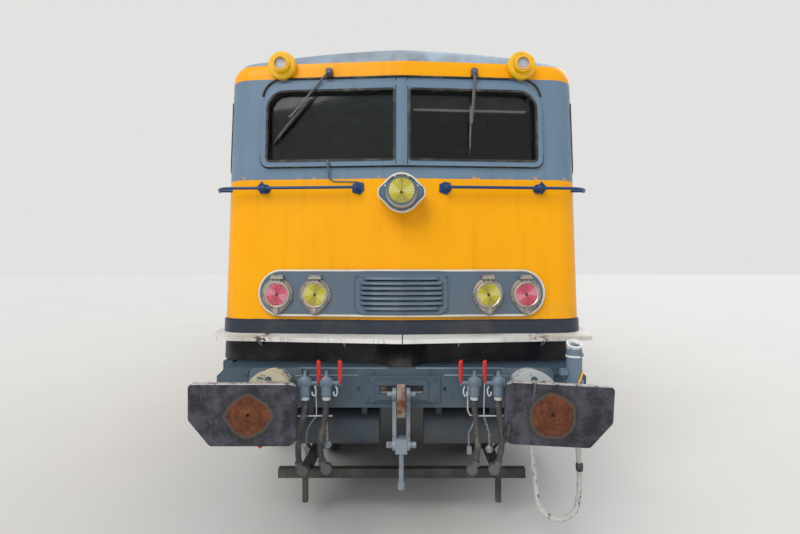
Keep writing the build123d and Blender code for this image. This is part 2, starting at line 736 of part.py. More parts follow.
def bolster(y):
    """Pivot post, centre plate, pin and side bearers over one bogie."""
    shape = block((-PIVOT_PLATE, PIVOT_PLATE), (y - PIVOT_PLATE, y + PIVOT_PLATE), (SILL_BOTTOM + 20, DECK_Z[1]))
    shape += rod_z(PIVOT_PLATE, 0, y, (BEARING_FACE + FIT_GAP, SILL_BOTTOM + 20))
    shape += rod_z(PIVOT_PIN, 0, y, (PIVOT_BOTTOM, SILL_BOTTOM + 20))
    for side in (-1, 1):
        arm = (side * BEARER_X[0], side * SILL_X[0])
        shape += block(tuple(sorted(arm)), (y - BEARER_HALF, y + BEARER_HALF), (SILL_BOTTOM + 20, BODY_BASE - 40))
        pad = (side * BEARER_X[0], side * BEARER_X[1])
        shape += block(
            tuple(sorted(pad)),
            (y - BEARER_HALF, y + BEARER_HALF),
            (BEARING_FACE + FIT_GAP, SILL_BOTTOM + 20),
        )
    return shape


def make_underframe():
    """Sills, raised deck, cross beams and headstocks, with the bogie pivots."""
    back = HEADSTOCK_SETBACK + HEADSTOCK_DEPTH
    frame = ROOM & block((-2000, 2000), (FRONT, -FRONT), DECK_Z)
    parts = at_both_ends([headstock()])
    inner, outer = SILL_X
    for side in (-1, 1):
        sill = tuple(sorted((side * inner, side * outer)))
        upstand = tuple(sorted((side * inner, side * (BODY_HALF_WIDTH - WALL - FIT_GAP))))
        end = FRONT + SHOULDER_SETBACK
        parts.append(block(sill, (end, -end), (SILL_BOTTOM, BODY_BASE)))
        parts.append(block(upstand, (end + 150, -end - 150), (SILL_BOTTOM, DECK_Z[0])))
        centre = tuple(sorted(side * v for v in CENTRE_SILL_X))
        nose = tuple(sorted((side * (inner - 60), side * (inner + 10))))
        parts += at_both_ends([
            block(centre, (FRONT + back, -CROSS_BEAM_Y[-1]), (SILL_BOTTOM, BODY_BASE)),
            block(nose, (FRONT + back - 10, end + 60), (SILL_BOTTOM, BODY_BASE - 2)),
        ])
    for y in CROSS_BEAM_Y:
        beam = block((-inner, inner), (y - 60, y + 60), (SILL_BOTTOM + 109, DECK_Z[0]))
        parts += at_both_ends([beam]) if y else [beam]
    parts += at_both_ends([block(
        (-CENTRE_SILL_X[1], CENTRE_SILL_X[1]),
        (-CROSS_BEAM_Y[-1] - 60, -CROSS_BEAM_Y[-1] + 60),
        (SILL_BOTTOM, DECK_Z[0]),
    )])
    parts += [bolster(-BOGIE_SPACING / 2), bolster(BOGIE_SPACING / 2)]
    for part in parts:
        frame += part
    save("underframe", [frame])


# Buffers
BUFFER_X = 875.0
BUFFER_Z = 1082.0
BUFFER_CASING = 145.0
BUFFER_PLUNGER = 105.0
BUFFER_CASING_FRONT = 420.0
BUFFER_HEAD_THICK = 38.0
BUFFER_BASE = 25.0
BUFFER_HEAD_Z = (-180.0, 180.0)
BUFFER_HEAD_X = (-275.0, 350.0)
BUFFER_CHAMFER = (125.0, 150.0)
RIGHT_HEAD_TILT = 3.0


def buffer_head(tilt):
    """A rectangular head, wider outwards, with its outer lower corner cut off."""
    inner, outer = BUFFER_HEAD_X
    low, high = BUFFER_HEAD_Z
    cut_x, cut_z = BUFFER_CHAMFER
    points = [(inner, low), (outer - cut_x, low), (outer, low + cut_z), (outer, high), (inner, high)]
    head = plate_xz(rounded(points, [55, 30, 30, 30, 40]), (FRONT, FRONT + BUFFER_HEAD_THICK))
    head = chamfer(head.faces().sort_by(Axis.Y)[0].edges(), 5)
    head -= rod_y(12, 0, (FRONT - 1, FRONT + 12), 0)
    head += rod_y(BUFFER_PLUNGER, 0, (FRONT + BUFFER_HEAD_THICK, FRONT + BUFFER_CASING_FRONT - FIT_GAP), 0)
    return Pos(BUFFER_X, 0, BUFFER_Z) * Rot(0, tilt, 0) * head


def make_buffers():
    """Buffer casings bolted to the headstocks, and the heads on their plungers."""
    headstock_y = FRONT + HEADSTOCK_SETBACK
    base = rounded([(-185, -141), (185, -141), (185, 139), (-185, 139)], 40)
    casing = plate_xz(base, (headstock_y - BUFFER_BASE, headstock_y))
    casing += rod_y(BUFFER_CASING, 0, (FRONT + BUFFER_CASING_FRONT, headstock_y - BUFFER_BASE), 0)
    casing += rod_y(BUFFER_CASING + 14, 0, (FRONT + BUFFER_CASING_FRONT, FRONT + BUFFER_CASING_FRONT + 40), 0)
    casing = Pos(BUFFER_X, 0, BUFFER_Z) * casing
    save("buffer_casings", at_both_ends(at_both_sides([casing])))
    level = buffer_head(0)
    heads = [buffer_head(RIGHT_HEAD_TILT), mirror(level, about=Plane.YZ)]
    heads += [Rot(0, 0, 180) * level, Rot(0, 0, 180) * mirror(level, about=Plane.YZ)]
    save("buffer_heads", heads)


# Coupling
HOOK_HALF = 27.0


def make_couplings():
    """Drawhooks and the screw couplings that hang from them."""
    y0 = FRONT
    z0 = COUPLING_Z
    points = [
        (y0 + HOOK_SEAT, z0 + 38), (y0 + 470, z0 + 38), (y0 + 445, z0 - 12), (y0 + 400, z0 - 12),
        (y0 + 400, z0 + 92), (y0 + 352, z0 + 98), (y0 + 340, z0 + 20), (y0 + 365, z0 - 128),
        (y0 + 440, z0 - 140), (y0 + 510, z0 - 64), (y0 + 585, z0 - 38), (y0 + HOOK_SEAT, z0 - 38),
    ]
    radii = [4, 20, 20, 20, 15, 15, 40, 40, 30, 30, 30, 4]
    hook = plate_yz(rounded(points, radii), (-HOOK_HALF, HOOK_HALF))
    pin_y = y0 + 510
    pin_z = z0 - 8
    pin_radius = 17
    hook -= rod_x(pin_radius + FIT_GAP, (-60, 60), pin_y, pin_z)
    save("drawhooks", at_both_ends([hook]))
    pieces = rod_x(pin_radius, (-95, 95), pin_y, pin_z)
    block_z = 726.0
    for side in (-1, 1):
        x = tuple(sorted((side * 34, side * 60)))
        link = block(x, (pin_y - 19, pin_y + 19), (block_z, pin_z)) + rod_x(44, x, pin_y, pin_z)
        link += rod_x(38, x, pin_y, block_z)
        pieces += link
    pieces += block((-40, 40), (pin_y - 42, pin_y + 42), (block_z - 50, block_z + 50))
    pieces += rod_x(22, (-100, 100), pin_y, block_z)
    pieces += rod_z(17, 0, pin_y, (460, block_z))
    pieces += rod_z(24, 0, pin_y, (428, 480))
    save("screw_couplings", at_both_ends([pieces]))


# Brake cocks, hoses, and the jumper cable
COCK_Z = 1140.0
HOSE_TOP = 1045.0
HOSE_RADIUS = 20.5
HOSE_Y = 540.0
# name of the hose, x of its cock, side of its red handle, then its route as x, y from the buffer face, z
HOSES = [
    ("brake_hose_outer_left", -655.0, 1, [
        (-655, 540, 1045), (-655, 540, 980), (-668, 534, 888), (-692, 526, 786), (-704, 523, 690), (-696, 526, 605)]),
    ("brake_hose_inner_left", -510.0, 1, [
        (-510, 540, 1045), (-510, 540, 980), (-522, 534, 888), (-544, 526, 786), (-554, 523, 695), (-540, 526, 615)]),
    ("brake_hose_inner_right", 497.0, -1, [
        (497, 540, 1045), (497, 540, 980), (506, 534, 888), (518, 526, 786), (520, 523, 695), (508, 526, 612)]),
    ("brake_hose_outer_right", 660.0, -1, [
        (660, 540, 1045), (660, 540, 980), (670, 534, 888), (684, 526, 786), (682, 523, 695), (662, 526, 612)]),
]
CABLE_RADIUS = 18.0
CABLE_ROUTE = [
    (900, 670, 900), (900, 670, 805), (909, 655, 700), (918, 630, 585), (926, 600, 465), (932, 572, 349),
    (944, 552, 285), (986, 538, 234), (1047, 526, 212), (1111, 514, 224), (1161, 503, 266), (1184, 494, 327),
    (1193, 488, 400), (1196, 484, 500), (1193, 481, 615), (1183, 480, 740), (1168, 480, 860), (1158, 480, 970),
    (1158, 480, 1080)]
SOCKET_X = 1158.0
SOCKET_SETBACK = 480.0
SOCKET_RADIUS = 52.0
SOCKET_Z = (1080.0, 1419.0)


def cord_tube(route, radius):
    """A plain tube of straight runs joined by tangent arcs as large as the runs allow."""
    points = [Vector(x, FRONT + y, z) for x, y, z in route]
    radii = []
    for before, here, after in zip(points, points[1:], points[2:]):
        run = min((here - before).length, (after - here).length)
        turn = math.radians((here - before).get_angle(after - here))
        radii.append(0.45 * run / math.tan(turn / 2))
    path = FilletPolyline(*points, radius=radii)
    print("radii", [round(r) for r in radii], "length", round(path.length))
    return sweep(Plane(origin=path @ 0, z_dir=path % 0) * Circle(radius), path=path)


def make_pipework():
    """Cocks on the headstocks, the four front brake hoses and their coupling heads."""
    headstock_y = FRONT + HEADSTOCK_SETBACK
    cocks = []
    heads = []
    for name, x, handle_side, route in HOSES:
        y = FRONT + HOSE_Y
        cock = rod_y(24, x, (y, headstock_y), COCK_Z)
        cock += rod_x(30, (x - 42, x + 42), y, COCK_Z)
        cock += rod_z(36, x, y, (HOSE_TOP + 10, COCK_Z + 30))
        cock += rod_z(28, x, y, (HOSE_TOP, HOSE_TOP + 12))
        lever_x = x + handle_side * 88
        cock += rod_x(10, tuple(sorted((x, lever_x))), y, COCK_Z - 12)
        cock += rod_z(11, lever_x, y, (COCK_Z - 20, 1292))
        cocks.append(cock)
        tube = cord_tube(route, HOSE_RADIUS)
        save(name, [tube])
        end = Vector(route[-1][0], FRONT + route[-1][1], route[-1][2])
        before = Vector(route[-2][0], FRONT + route[-2][1], route[-2][2])
        along = (end - before).normalized()
        collar = rod_between(27, tuple(end), tuple(end + along * 34))
        inward = 1 if x < 0 else -1
        knob = end + along * 62 + Vector(inward * 20, 0, 6)
        head = collar + Pos(*knob) * Rot(90, 0, 0) * Cylinder(36, 46)
        heads.append(head)
    save("brake_cocks", at_both_ends(cocks))
    save("hose_heads", heads)


def make_jumper():
    """Jumper socket posts on both headstocks, and the one cable that hangs at the front."""
    headstock_y = FRONT + HEADSTOCK_SETBACK
    y = FRONT + SOCKET_SETBACK
    post = rod_z(SOCKET_RADIUS, SOCKET_X, y, (SOCKET_Z[0], SOCKET_Z[1] - 40))
    post += Pos(SOCKET_X, y, SOCKET_Z[1] - 40) * Rot(90, 0, 0) * Cylinder(40, SOCKET_RADIUS * 1.4)
    post += block((SOCKET_X - 30, SOCKET_X + 30), (y, headstock_y), (1120, 1200))
    gland_x, gland_y, gland_z = CABLE_ROUTE[0]
    gland = rod_z(30, gland_x, FRONT + gland_y, (gland_z, HEADSTOCK_BOTTOM))
    save("jumper_sockets", at_both_ends([post, gland]))
    save("jumper_cable", [cord_tube(CABLE_ROUTE, CABLE_RADIUS)])


RESERVOIR_RADIUS = 140.0
RESERVOIR_X = (165.0, 780.0)
RESERVOIR_SETBACK = 920.0
RESERVOIR_Z = 735.0


def make_reservoirs():
    """Air reservoirs under each headstock, hung on straps."""
    y = FRONT + RESERVOIR_SETBACK
    tank = rod_x(RESERVOIR_RADIUS, RESERVOIR_X, y, RESERVOIR_Z)
    strap_y = FRONT + HEADSTOCK_SETBACK + HEADSTOCK_DEPTH
    for x in (RESERVOIR_X[0] + 110, RESERVOIR_X[1] - 110):
        tank += block((x - 20, x + 20), (strap_y - 70, strap_y - 10), (RESERVOIR_Z, HEADSTOCK_BOTTOM))
    save("air_reservoirs", at_both_ends(at_both_sides([tank])))


def make_underfloor():
    """Battery and relay boxes between the bogies, hung from the sills."""
    boxes = []
    for y0, y1 in ((-1180, -40), (40, 1180)):
        box = block((760, 1420), (y0, y1), (480, SILL_BOTTOM))
        boxes.append(box)
    save("underfloor_boxes", at_both_sides(boxes))


# Bogies, in the bogie's own frame: Y from its centre
WHEEL_RADIUS = 625.0
AXLE_Z = WHEEL_RADIUS + FLANGE_DEPTH
AXLE_RADIUS = 95.0
JOURNAL_RADIUS = 75.0
WHEEL_BACK = 680.0
FLANGE_THICK = 32.0
TREAD_WIDTH = 103.0
JOURNAL_END = 1130.0
SIDE_FRAME_X = (1000.0, 1060.0)
SIDE_FRAME_TOP = 950.0
SIDE_FRAME_BOTTOM = 620.0
FRAME_HALF_LENGTH = 3320.0
BOX_HALF = 165.0
BOX_Z = (480.0, 850.0)
BOX_X = (920.0, 1165.0)
SPRING_OFFSETS = (-255.0, 255.0)
SPRING_TOP = 800.0
TRANSOM_Y = 1210.0
MOTOR_RADIUS = 325.0
MOTOR_Z = 560.0
MOTOR_HALF = 440.0


def wheelset():
    """An axle with its two wheels, revolved in one piece about X."""
    tread_out = WHEEL_BACK + FLANGE_THICK + TREAD_WIDTH
    # x and radius of one half, from the middle outwards
    half = [
        (0, AXLE_RADIUS), (WHEEL_BACK - 60, AXLE_RADIUS), (WHEEL_BACK - 20, AXLE_RADIUS + 55),
        (WHEEL_BACK + 8, 170), (WHEEL_BACK + 42, WHEEL_RADIUS - 115), (WHEEL_BACK + 6, WHEEL_RADIUS - 85),
        (WHEEL_BACK, WHEEL_RADIUS + 12), (WHEEL_BACK + 12, WHEEL_RADIUS + FLANGE_DEPTH),
        (WHEEL_BACK + 22, WHEEL_RADIUS + FLANGE_DEPTH), (WHEEL_BACK + FLANGE_THICK, WHEEL_RADIUS + 6),
        (tread_out, WHEEL_RADIUS - 3), (tread_out, WHEEL_RADIUS - 70), (WHEEL_BACK + 84, WHEEL_RADIUS - 110),
        (WHEEL_BACK + 60, 180), (tread_out - 10, 150), (tread_out - 10, JOURNAL_RADIUS + 25),
        (tread_out + 40, JOURNAL_RADIUS + 15), (tread_out + 60, JOURNAL_RADIUS), (JOURNAL_END, JOURNAL_RADIUS),
        (JOURNAL_END, 0),
    ]
    other = [(-x, r) for x, r in reversed(half[1:])]
    profile = make_face(Polyline(*(other + half + [other[0]])))
    return Pos(0, 0, AXLE_Z) * revolve(profile, axis=Axis.X)


def axle_positions():
    """Y of the three axles from the bogie's centre."""
    return [-AXLE_SPACING, 0.0, AXLE_SPACING]


def bogie_frame():
    """Side frames with pedestals, transoms, centre beam and rail guards."""
    half = FRAME_HALF_LENGTH
    top = SIDE_FRAME_TOP
    low = SIDE_FRAME_BOTTOM
    points = [(-half, top - 120), (-half + 500, top), (half - 500, top), (half, top - 120)]
    points.append((half, low + 60))
    for y in reversed(axle_positions()):
        # y offset from the axle and z of each pedestal corner
        for dy, z in ((BOX_HALF + 240, low), (BOX_HALF + 90, 470), (BOX_HALF + FIT_GAP, 470),
                      (BOX_HALF + FIT_GAP, BOX_Z[1] - 10), (-BOX_HALF - FIT_GAP, BOX_Z[1] - 10),
                      (-BOX_HALF - FIT_GAP, 470), (-BOX_HALF - 90, 470), (-BOX_HALF - 240, low)):
            points.append((y + dy, z))
    points.append((-half, low + 60))
    side = plate_yz(Polyline(*points, points[0]), SIDE_FRAME_X)
    frame = side + mirror(side, about=Plane.YZ)
    inner = SIDE_FRAME_X[0]
    for y in (-TRANSOM_Y, TRANSOM_Y):
        frame += block((-inner, inner), (y - 60, y + 60), (700, 900))
    for y in (-half + 60, half - 60):
        frame += block((-inner, inner), (y - 60, y + 60), (700, 830))
    beam = block((-150, 150), (-TRANSOM_Y, TRANSOM_Y), (895, 950))
    beam += rod_z(PIVOT_PLATE, 0, 0, (950, BEARING_FACE))
    beam -= rod_z(PIVOT_PIN + FIT_GAP, 0, 0, (890, 1000))
    frame += beam
    for side in (-1, 1):
        frame += block(
            tuple(sorted(side * v for v in (SIDE_FRAME_X[0], BEARER_X[1] - 30))),
            (-BEARER_HALF, BEARER_HALF),
            (top, BEARING_FACE),
        )
        for axle_y in axle_positions():
            for dy in SPRING_OFFSETS:
                bracket = tuple(sorted((side * SIDE_FRAME_X[0], side * (BOX_X[1] + 20))))
                spring_y = axle_y + dy
                frame += block(bracket, (spring_y - 70, spring_y + 70), (SPRING_TOP, SPRING_TOP + 30))
        # Rail guard arm, upright and foot at the outer end
        guard_x = tuple(sorted((side * 700, side * 770)))
        frame += block(guard_x, (-half - 560, -half + 20), (330, 400))
        frame += block(guard_x, (-half - 40, -half + 120), (330, 830))
        frame += block(tuple(sorted((side * 720, side * 760))), (-half - 560, -half - 520), (124, 400))
    frame += block((-945, 945), (-half - 560, -half - 500), (310, 380))
    return frame


def axle_gear():
    """Axle boxes in the pedestals, with a spring on each side of every box."""
    pieces = []
    low, high = BOX_Z
    for y in axle_positions():
        box = block(BOX_X, (y - BOX_HALF, y + BOX_HALF), (low, high - 10 - FIT_GAP))
        box += rod_x(120, (BOX_X[1], BOX_X[1] + 20), y, AXLE_Z)
        box -= rod_x(JOURNAL_RADIUS + 1, (900, JOURNAL_END + 6), y, AXLE_Z)
        wing = block((SIDE_FRAME_X[1] + 2, BOX_X[1]), (y - 330, y + 330), (low, low + 40))
        box += wing
        for dy in SPRING_OFFSETS:
            box += rod_z(62, (SIDE_FRAME_X[1] + BOX_X[1]) / 2 + 12, y + dy, (low + 40, SPRING_TOP))
        pieces.append(box)
    return at_both_sides(pieces)


def motors():
    """Three traction motors with their gear cases."""
    pieces = []
    # axle, motor position from the bogie's centre
    table = [(-AXLE_SPACING, -1640.0), (0.0, 690.0), (AXLE_SPACING, 1640.0)]
    for axle_y, y in table:
        motor = rod_x(MOTOR_RADIUS, (-MOTOR_HALF, MOTOR_HALF), y, MOTOR_Z)
        transom = TRANSOM_Y if y > 0 else -TRANSOM_Y
        near = transom - 60 if y < transom else transom + 60
        motor += block((-200, 200), tuple(sorted((y, near))), (720, 800))
        case = rod_x(330, (500, 600), axle_y, AXLE_Z) + rod_x(190, (430, 600), y, MOTOR_Z)
        case += plate_yz(
            Polyline(
                (axle_y, AXLE_Z + 330), (y, MOTOR_Z + 190), (y, MOTOR_Z - 190), (axle_y, AXLE_Z - 330),
                (axle_y, AXLE_Z + 330),
            ),
            (500, 600),
        )
        case -= rod_x(AXLE_RADIUS + 6, (400, 700), axle_y, AXLE_Z)
        pieces.append(motor + case)
    return pieces


def brake_gear():
    """Brake shoes on hangers, one on each side of every wheel."""
    pieces = []
    shoe_gap = 8.0
    x = (WHEEL_BACK + FLANGE_THICK, WHEEL_BACK + FLANGE_THICK + 90)
    for axle_y in axle_positions():
        for side in (-1, 1):
            ring = rod_x(WHEEL_RADIUS + 6 + shoe_gap + 55, x, axle_y, AXLE_Z)
            ring -= rod_x(WHEEL_RADIUS + 6 + shoe_gap, (x[0] - 5, x[1] + 5), axle_y, AXLE_Z)
            y_zone = (axle_y + side * 500, axle_y + side * 760)
            shoe = ring & block(x, tuple(sorted(y_zone)), (AXLE_Z - 170, AXLE_Z + 150))
            pin_y = axle_y + side * 690
            shoe += block((x[0] + 30, x[0] + 60), tuple(sorted((pin_y - 25, pin_y + 25))), (AXLE_Z + 60, 880))
            shoe += rod_x(20, (x[0] + 30, SIDE_FRAME_X[0]), pin_y, 860)
            pieces.append(shoe)
    return at_both_sides(pieces)


def bogie_frame_with_brakes():
    """The bogie frame with the brake gear that it carries."""
    frame = bogie_frame()
    for piece in brake_gear():
        frame += piece
    return frame


def make_bogies():
    """Both bogies: the rear one is the front one turned round."""
    parts = {
        "bogie_frame": [bogie_frame_with_brakes()],
        "axle_gear": axle_gear(),
        "traction_motors": motors(),
    }
    place = Pos(0, -BOGIE_SPACING / 2, 0)
    turned = Rot(0, 0, 180)
    for name, shapes in parts.items():
        front = [place * s for s in solids_of(shapes)]
        save(f"{name}_front", front)
        save(f"{name}_rear", [turned * s for s in front])
    one = wheelset()
    number = 1
    for centre in (-BOGIE_SPACING / 2, BOGIE_SPACING / 2):
        for y in axle_positions():
            save(f"wheelset_{number}", [Pos(0, centre + y, 0) * one])
            number += 1


# Pantographs, in their own frame: Y from the middle of the base
PANTOGRAPH_Y = 5400.0
PIVOT_SPREAD = 160.0
PANTO_PIVOT_Z = 3990.0
ARM_LENGTH = 1150.0
ARM_REST = 3.0
LOWER_X = (540.0, 455.0)
UPPER_X = 375.0
ARM_TUBE = 24.0
SHAFT = 20.0
HEAD_HALF = 975.0
STRIP_Z = 4225.0
BASE_FRAME_Z = (3880.0, 3930.0)
BASE_HALF_LENGTH = 480.0
INSULATOR_X = 560.0
INSULATOR_Y = 420.0


def knee():
    """Y and Z of the front knee at rest."""
    angle = math.radians(ARM_REST)
    return -PIVOT_SPREAD - ARM_LENGTH * math.cos(angle), PANTO_PIVOT_Z + ARM_LENGTH * math.sin(angle)


def head_pivot_z():
    """Height of the head's pivots at rest."""
    return PANTO_PIVOT_Z + 2 * ARM_LENGTH * math.sin(math.radians(ARM_REST))


def lower_arm():
    """The front lower frame: base shaft, two tapering legs and a brace."""
    knee_y, knee_z = knee()
    arm = rod_x(SHAFT, (-LOWER_X[0], LOWER_X[0]), -PIVOT_SPREAD, PANTO_PIVOT_Z)
    for side in (-1, 1):
        arm += rod_between(ARM_TUBE, (side * LOWER_X[0], -PIVOT_SPREAD, PANTO_PIVOT_Z),
                           (side * LOWER_X[1], knee_y, knee_z))
    arm += rod_x(SHAFT - 6, (-LOWER_X[1], LOWER_X[1]), knee_y, knee_z)
    return arm


def upper_arm():
    """The front upper frame: knee sleeves, two legs and the top shaft."""
    knee_y, knee_z = knee()
    top_z = head_pivot_z()
    arm = rod_x(SHAFT - 4, (-UPPER_X, UPPER_X), -PIVOT_SPREAD, top_z)
    for side in (-1, 1):
        arm += rod_between(SHAFT, (side * UPPER_X, -PIVOT_SPREAD, top_z), (side * UPPER_X, knee_y, knee_z))
        arm += rod_x(26, tuple(sorted((side * (UPPER_X - 35), side * (UPPER_X + 35)))), knee_y, knee_z)
    bore = rod_x(SHAFT - 6 + FIT_GAP, (-LOWER_X[0], LOWER_X[0]), knee_y, knee_z)
    return arm - bore


def collector_head():
    """Two contact strips with drooping horns, on a yoke over both top shafts."""
    top_z = head_pivot_z()
    pieces = []
    for y in (-PIVOT_SPREAD, PIVOT_SPREAD):
        strip = block((-560, 560), (y - 28, y + 28), (STRIP_Z - 26, STRIP_Z))
        for side in (-1, 1):
            end = (side * HEAD_HALF, y, STRIP_Z - 150)
            middle = (side * 760, y, STRIP_Z - 28)
            strip += rod_between(13, (side * 540, y, STRIP_Z - 13), middle)
            strip += rod_between(13, middle, end)
        pieces.append(strip)
    head = pieces[0] + pieces[1]
    for side in (-1, 1):
        x = tuple(sorted((side * 290, side * 310)))
        head += block(x, (-PIVOT_SPREAD - 30, PIVOT_SPREAD + 30), (STRIP_Z - 60, STRIP_Z - 26))
        head += block(x, (-PIVOT_SPREAD - 26, -PIVOT_SPREAD + 26), (top_z - 26, STRIP_Z - 40))
        head += block(x, (PIVOT_SPREAD - 26, PIVOT_SPREAD + 26), (top_z - 26, STRIP_Z - 40))
    head -= rod_x(SHAFT - 4 + FIT_GAP, (-500, 500), -PIVOT_SPREAD, top_z)
    head -= rod_x(SHAFT - 4 + 4, (-500, 500), PIVOT_SPREAD, top_z)
    return head


def insulator(x, y, low, high):
    """A ribbed post insulator."""
    ribs = 4
    pitch = (high - low - 30) / ribs
    points = [(0, low), (42, low)]
    for i in range(ribs):
        z = low + 15 + i * pitch
        points += [(42, z), (70, z + pitch * 0.35), (42, z + pitch * 0.8)]
    points += [(42, high), (0, high)]
    profile = make_face(Plane.XZ * Polyline(*points, points[0]))
    return Pos(x, y, 0) * revolve(profile, axis=Axis.Z)


def roof_z(x):
    """Height of the roof skin."""
    return ROOF_CROWN - x ** 2 / (2 * ROOF_RADIUS)


def pantograph_base():
    """A rectangular frame on four insulators, with the shaft bearings."""
    low, high = BASE_FRAME_Z
    base = block((-620, 620), (-BASE_HALF_LENGTH, BASE_HALF_LENGTH), (low, high))
    base -= block((-560, 560), (-420, 420), (low - 1, high + 1))
    for y in (-PIVOT_SPREAD, PIVOT_SPREAD):
        base += block((-620, 620), (y - 30, y + 30), (low, high))
        for side in (-1, 1):
            x = tuple(sorted((side * 475, side * 505)))
            base += block(x, (y - 32, y + 32), (high, PANTO_PIVOT_Z + 34))
        base -= rod_x(SHAFT + FIT_GAP, (-640, 640), y, PANTO_PIVOT_Z)
    for x in (-INSULATOR_X, INSULATOR_X):
        for y in (-INSULATOR_Y, INSULATOR_Y):
            base += insulator(x, y, roof_z(INSULATOR_X), low)
    return base - Pos(0, PANTOGRAPH_Y, 0) * OUTER


def make_pantographs():
    """Both pantographs, lowered: the rear one is the front one turned round."""
    parts = {
        "pantograph_base": pantograph_base(),
        "lower_arm_a": lower_arm(),
        "lower_arm_b": Rot(0, 0, 180) * lower_arm(),
        "upper_arm_a": upper_arm(),
        "upper_arm_b": Rot(0, 0, 180) * upper_arm(),
        "collector_head": collector_head(),
    }
    place = Pos(0, -PANTOGRAPH_Y, 0)
    turned = Rot(0, 0, 180)
    bases = []
    for name, shape in parts.items():
        front = place * shape
        if name == "pantograph_base":
            bases = at_both_ends([front])
            continue
        save(f"{name}_front", [front])
        save(f"{name}_rear", [turned * front])
    save("pantograph_bases", bases)


def make_roof_equipment():
    """The bus bar between the pantographs on its insulators, and the horns."""
    pieces = []
    bar_z = 3960.0
    reach = PANTOGRAPH_Y - BASE_HALF_LENGTH - FIT_GAP
    gear = rod_y(18, 0, (-reach, reach), bar_z)
    for y in (-3600, -1800, 0, 1800, 3600):
        gear += insulator(0, y, roof_z(0), bar_z - 10) - OUTER
    for side in (-1, 1):
        foot_y = tuple(sorted((side * (reach - 50), side * reach)))
        gear += block((-30, 30), foot_y, (BASE_FRAME_Z[0] + 10, bar_z))
    pieces.append(gear)
    save("roof_equipment", pieces)


# Wipers
WIPER_ARMS = [(-540.0, -870.0), (540.0, 520.0)]
WIPER_PIVOT_RISE = 90.0
WIPER_DROP = 480.0
WIPER_STANDOFF = 45.0
WIPER_ARM_RADIUS = 8.0


def make_wipers():
    """One wiper on each windscreen, hung from above."""
    pieces = []
    z_top = WINDSCREEN_HIGH + WIPER_PIVOT_RISE
    z_end = z_top - WIPER_DROP
    for x, x_end in WIPER_ARMS:
        y = face_y(x, z_top) - WIPER_STANDOFF
        y_end = face_y(x_end, z_end) - WIPER_STANDOFF
        arm = rod_between(WIPER_ARM_RADIUS, (x, y, z_top), (x_end, y_end, z_end))
        arm += rod_y(2 * WIPER_ARM_RADIUS, x, (y - WIPER_ARM_RADIUS, y + 3 * WIPER_STANDOFF), z_top)
        pieces.append(arm - OUTER)
    save("wipers", at_both_ends(pieces))


make_cabs()
make_side_walls()
make_roof()
make_partitions()
make_machine_block()
make_cab_fittings()
make_glass()
make_windscreen_frames()
make_light_panels()
make_lamps()
make_footboards()
make_doors()
make_handrails()
make_steps()
make_underframe()
make_buffers()
make_couplings()
make_pipework()
make_jumper()
make_reservoirs()
make_underfloor()
make_bogies()
make_pantographs()
make_roof_equipment()
make_wipers()
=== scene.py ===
"""Looks for the electric locomotive: paint, glass, lamps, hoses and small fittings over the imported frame."""
import math

import bmesh
import bpy
from mathutils import Matrix, Vector
from mathutils.bvhtree import BVHTree


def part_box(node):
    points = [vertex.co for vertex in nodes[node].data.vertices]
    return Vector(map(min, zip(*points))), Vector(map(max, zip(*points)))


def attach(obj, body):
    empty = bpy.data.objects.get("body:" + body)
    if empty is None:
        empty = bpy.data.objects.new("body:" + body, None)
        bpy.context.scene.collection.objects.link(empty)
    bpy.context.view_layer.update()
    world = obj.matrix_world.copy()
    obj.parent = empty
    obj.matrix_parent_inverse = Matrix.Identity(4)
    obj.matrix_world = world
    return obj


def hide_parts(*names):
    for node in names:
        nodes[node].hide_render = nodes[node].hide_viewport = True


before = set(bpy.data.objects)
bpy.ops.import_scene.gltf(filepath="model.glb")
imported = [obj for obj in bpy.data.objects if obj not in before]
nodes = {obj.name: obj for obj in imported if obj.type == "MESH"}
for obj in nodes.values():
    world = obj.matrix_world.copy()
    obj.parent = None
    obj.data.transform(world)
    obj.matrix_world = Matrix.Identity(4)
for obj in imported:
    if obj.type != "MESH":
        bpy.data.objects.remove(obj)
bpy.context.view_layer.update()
scene = bpy.context.scene
scene.view_settings.view_transform = "Standard"

# Places in metres, as in the solids
FRONT = -9.476
COCK_Y = FRONT + 0.54
BAR_Y = FRONT + 0.559
BAR_Z = 0.906
COCKS = ((-0.655, 1), (-0.51, 1), (0.497, -1), (0.66, -1))
MARKER_Z = 1.718
HEADLIGHT_Z = 2.462
ROOF_LAMP_Z = 3.485
CAB_MIDDLE = 7.7
BUFFER_X = 0.875
BUFFER_Z = 1.075

RIGHT = (1, 0, 0)
BACK = (0, 1, 0)
AHEAD = (0, -1, 0)
UP = (0, 0, 1)
DOWN = (0, 0, -1)
SLOPE = (0, -1, 0.08)
HALF_TURN = Matrix.Rotation(math.pi, 4, "Z")

# The camera of the photograph
camera_data = bpy.data.cameras.new("photo_camera")
camera_data.lens = 22.5
camera_data.sensor_width = 36
camera_data.shift_x = -0.00625
camera_data.shift_y = -0.0075
camera = bpy.data.objects.new("photo_camera", camera_data)
camera.location = (0.025, -12.346, 1.968)
camera.rotation_euler = (math.pi / 2, 0, 0)
scene.collection.objects.link(camera)
scene.camera = camera


# Materials
def rgb(red, green, blue):
    """A colour written as 0 to 255 screen values."""
    linear = []
    for value in (red, green, blue):
        share = value / 255
        linear.append(share / 12.92 if share <= 0.04045 else ((share + 0.055) / 1.055) ** 2.4)
    return (*linear, 1)


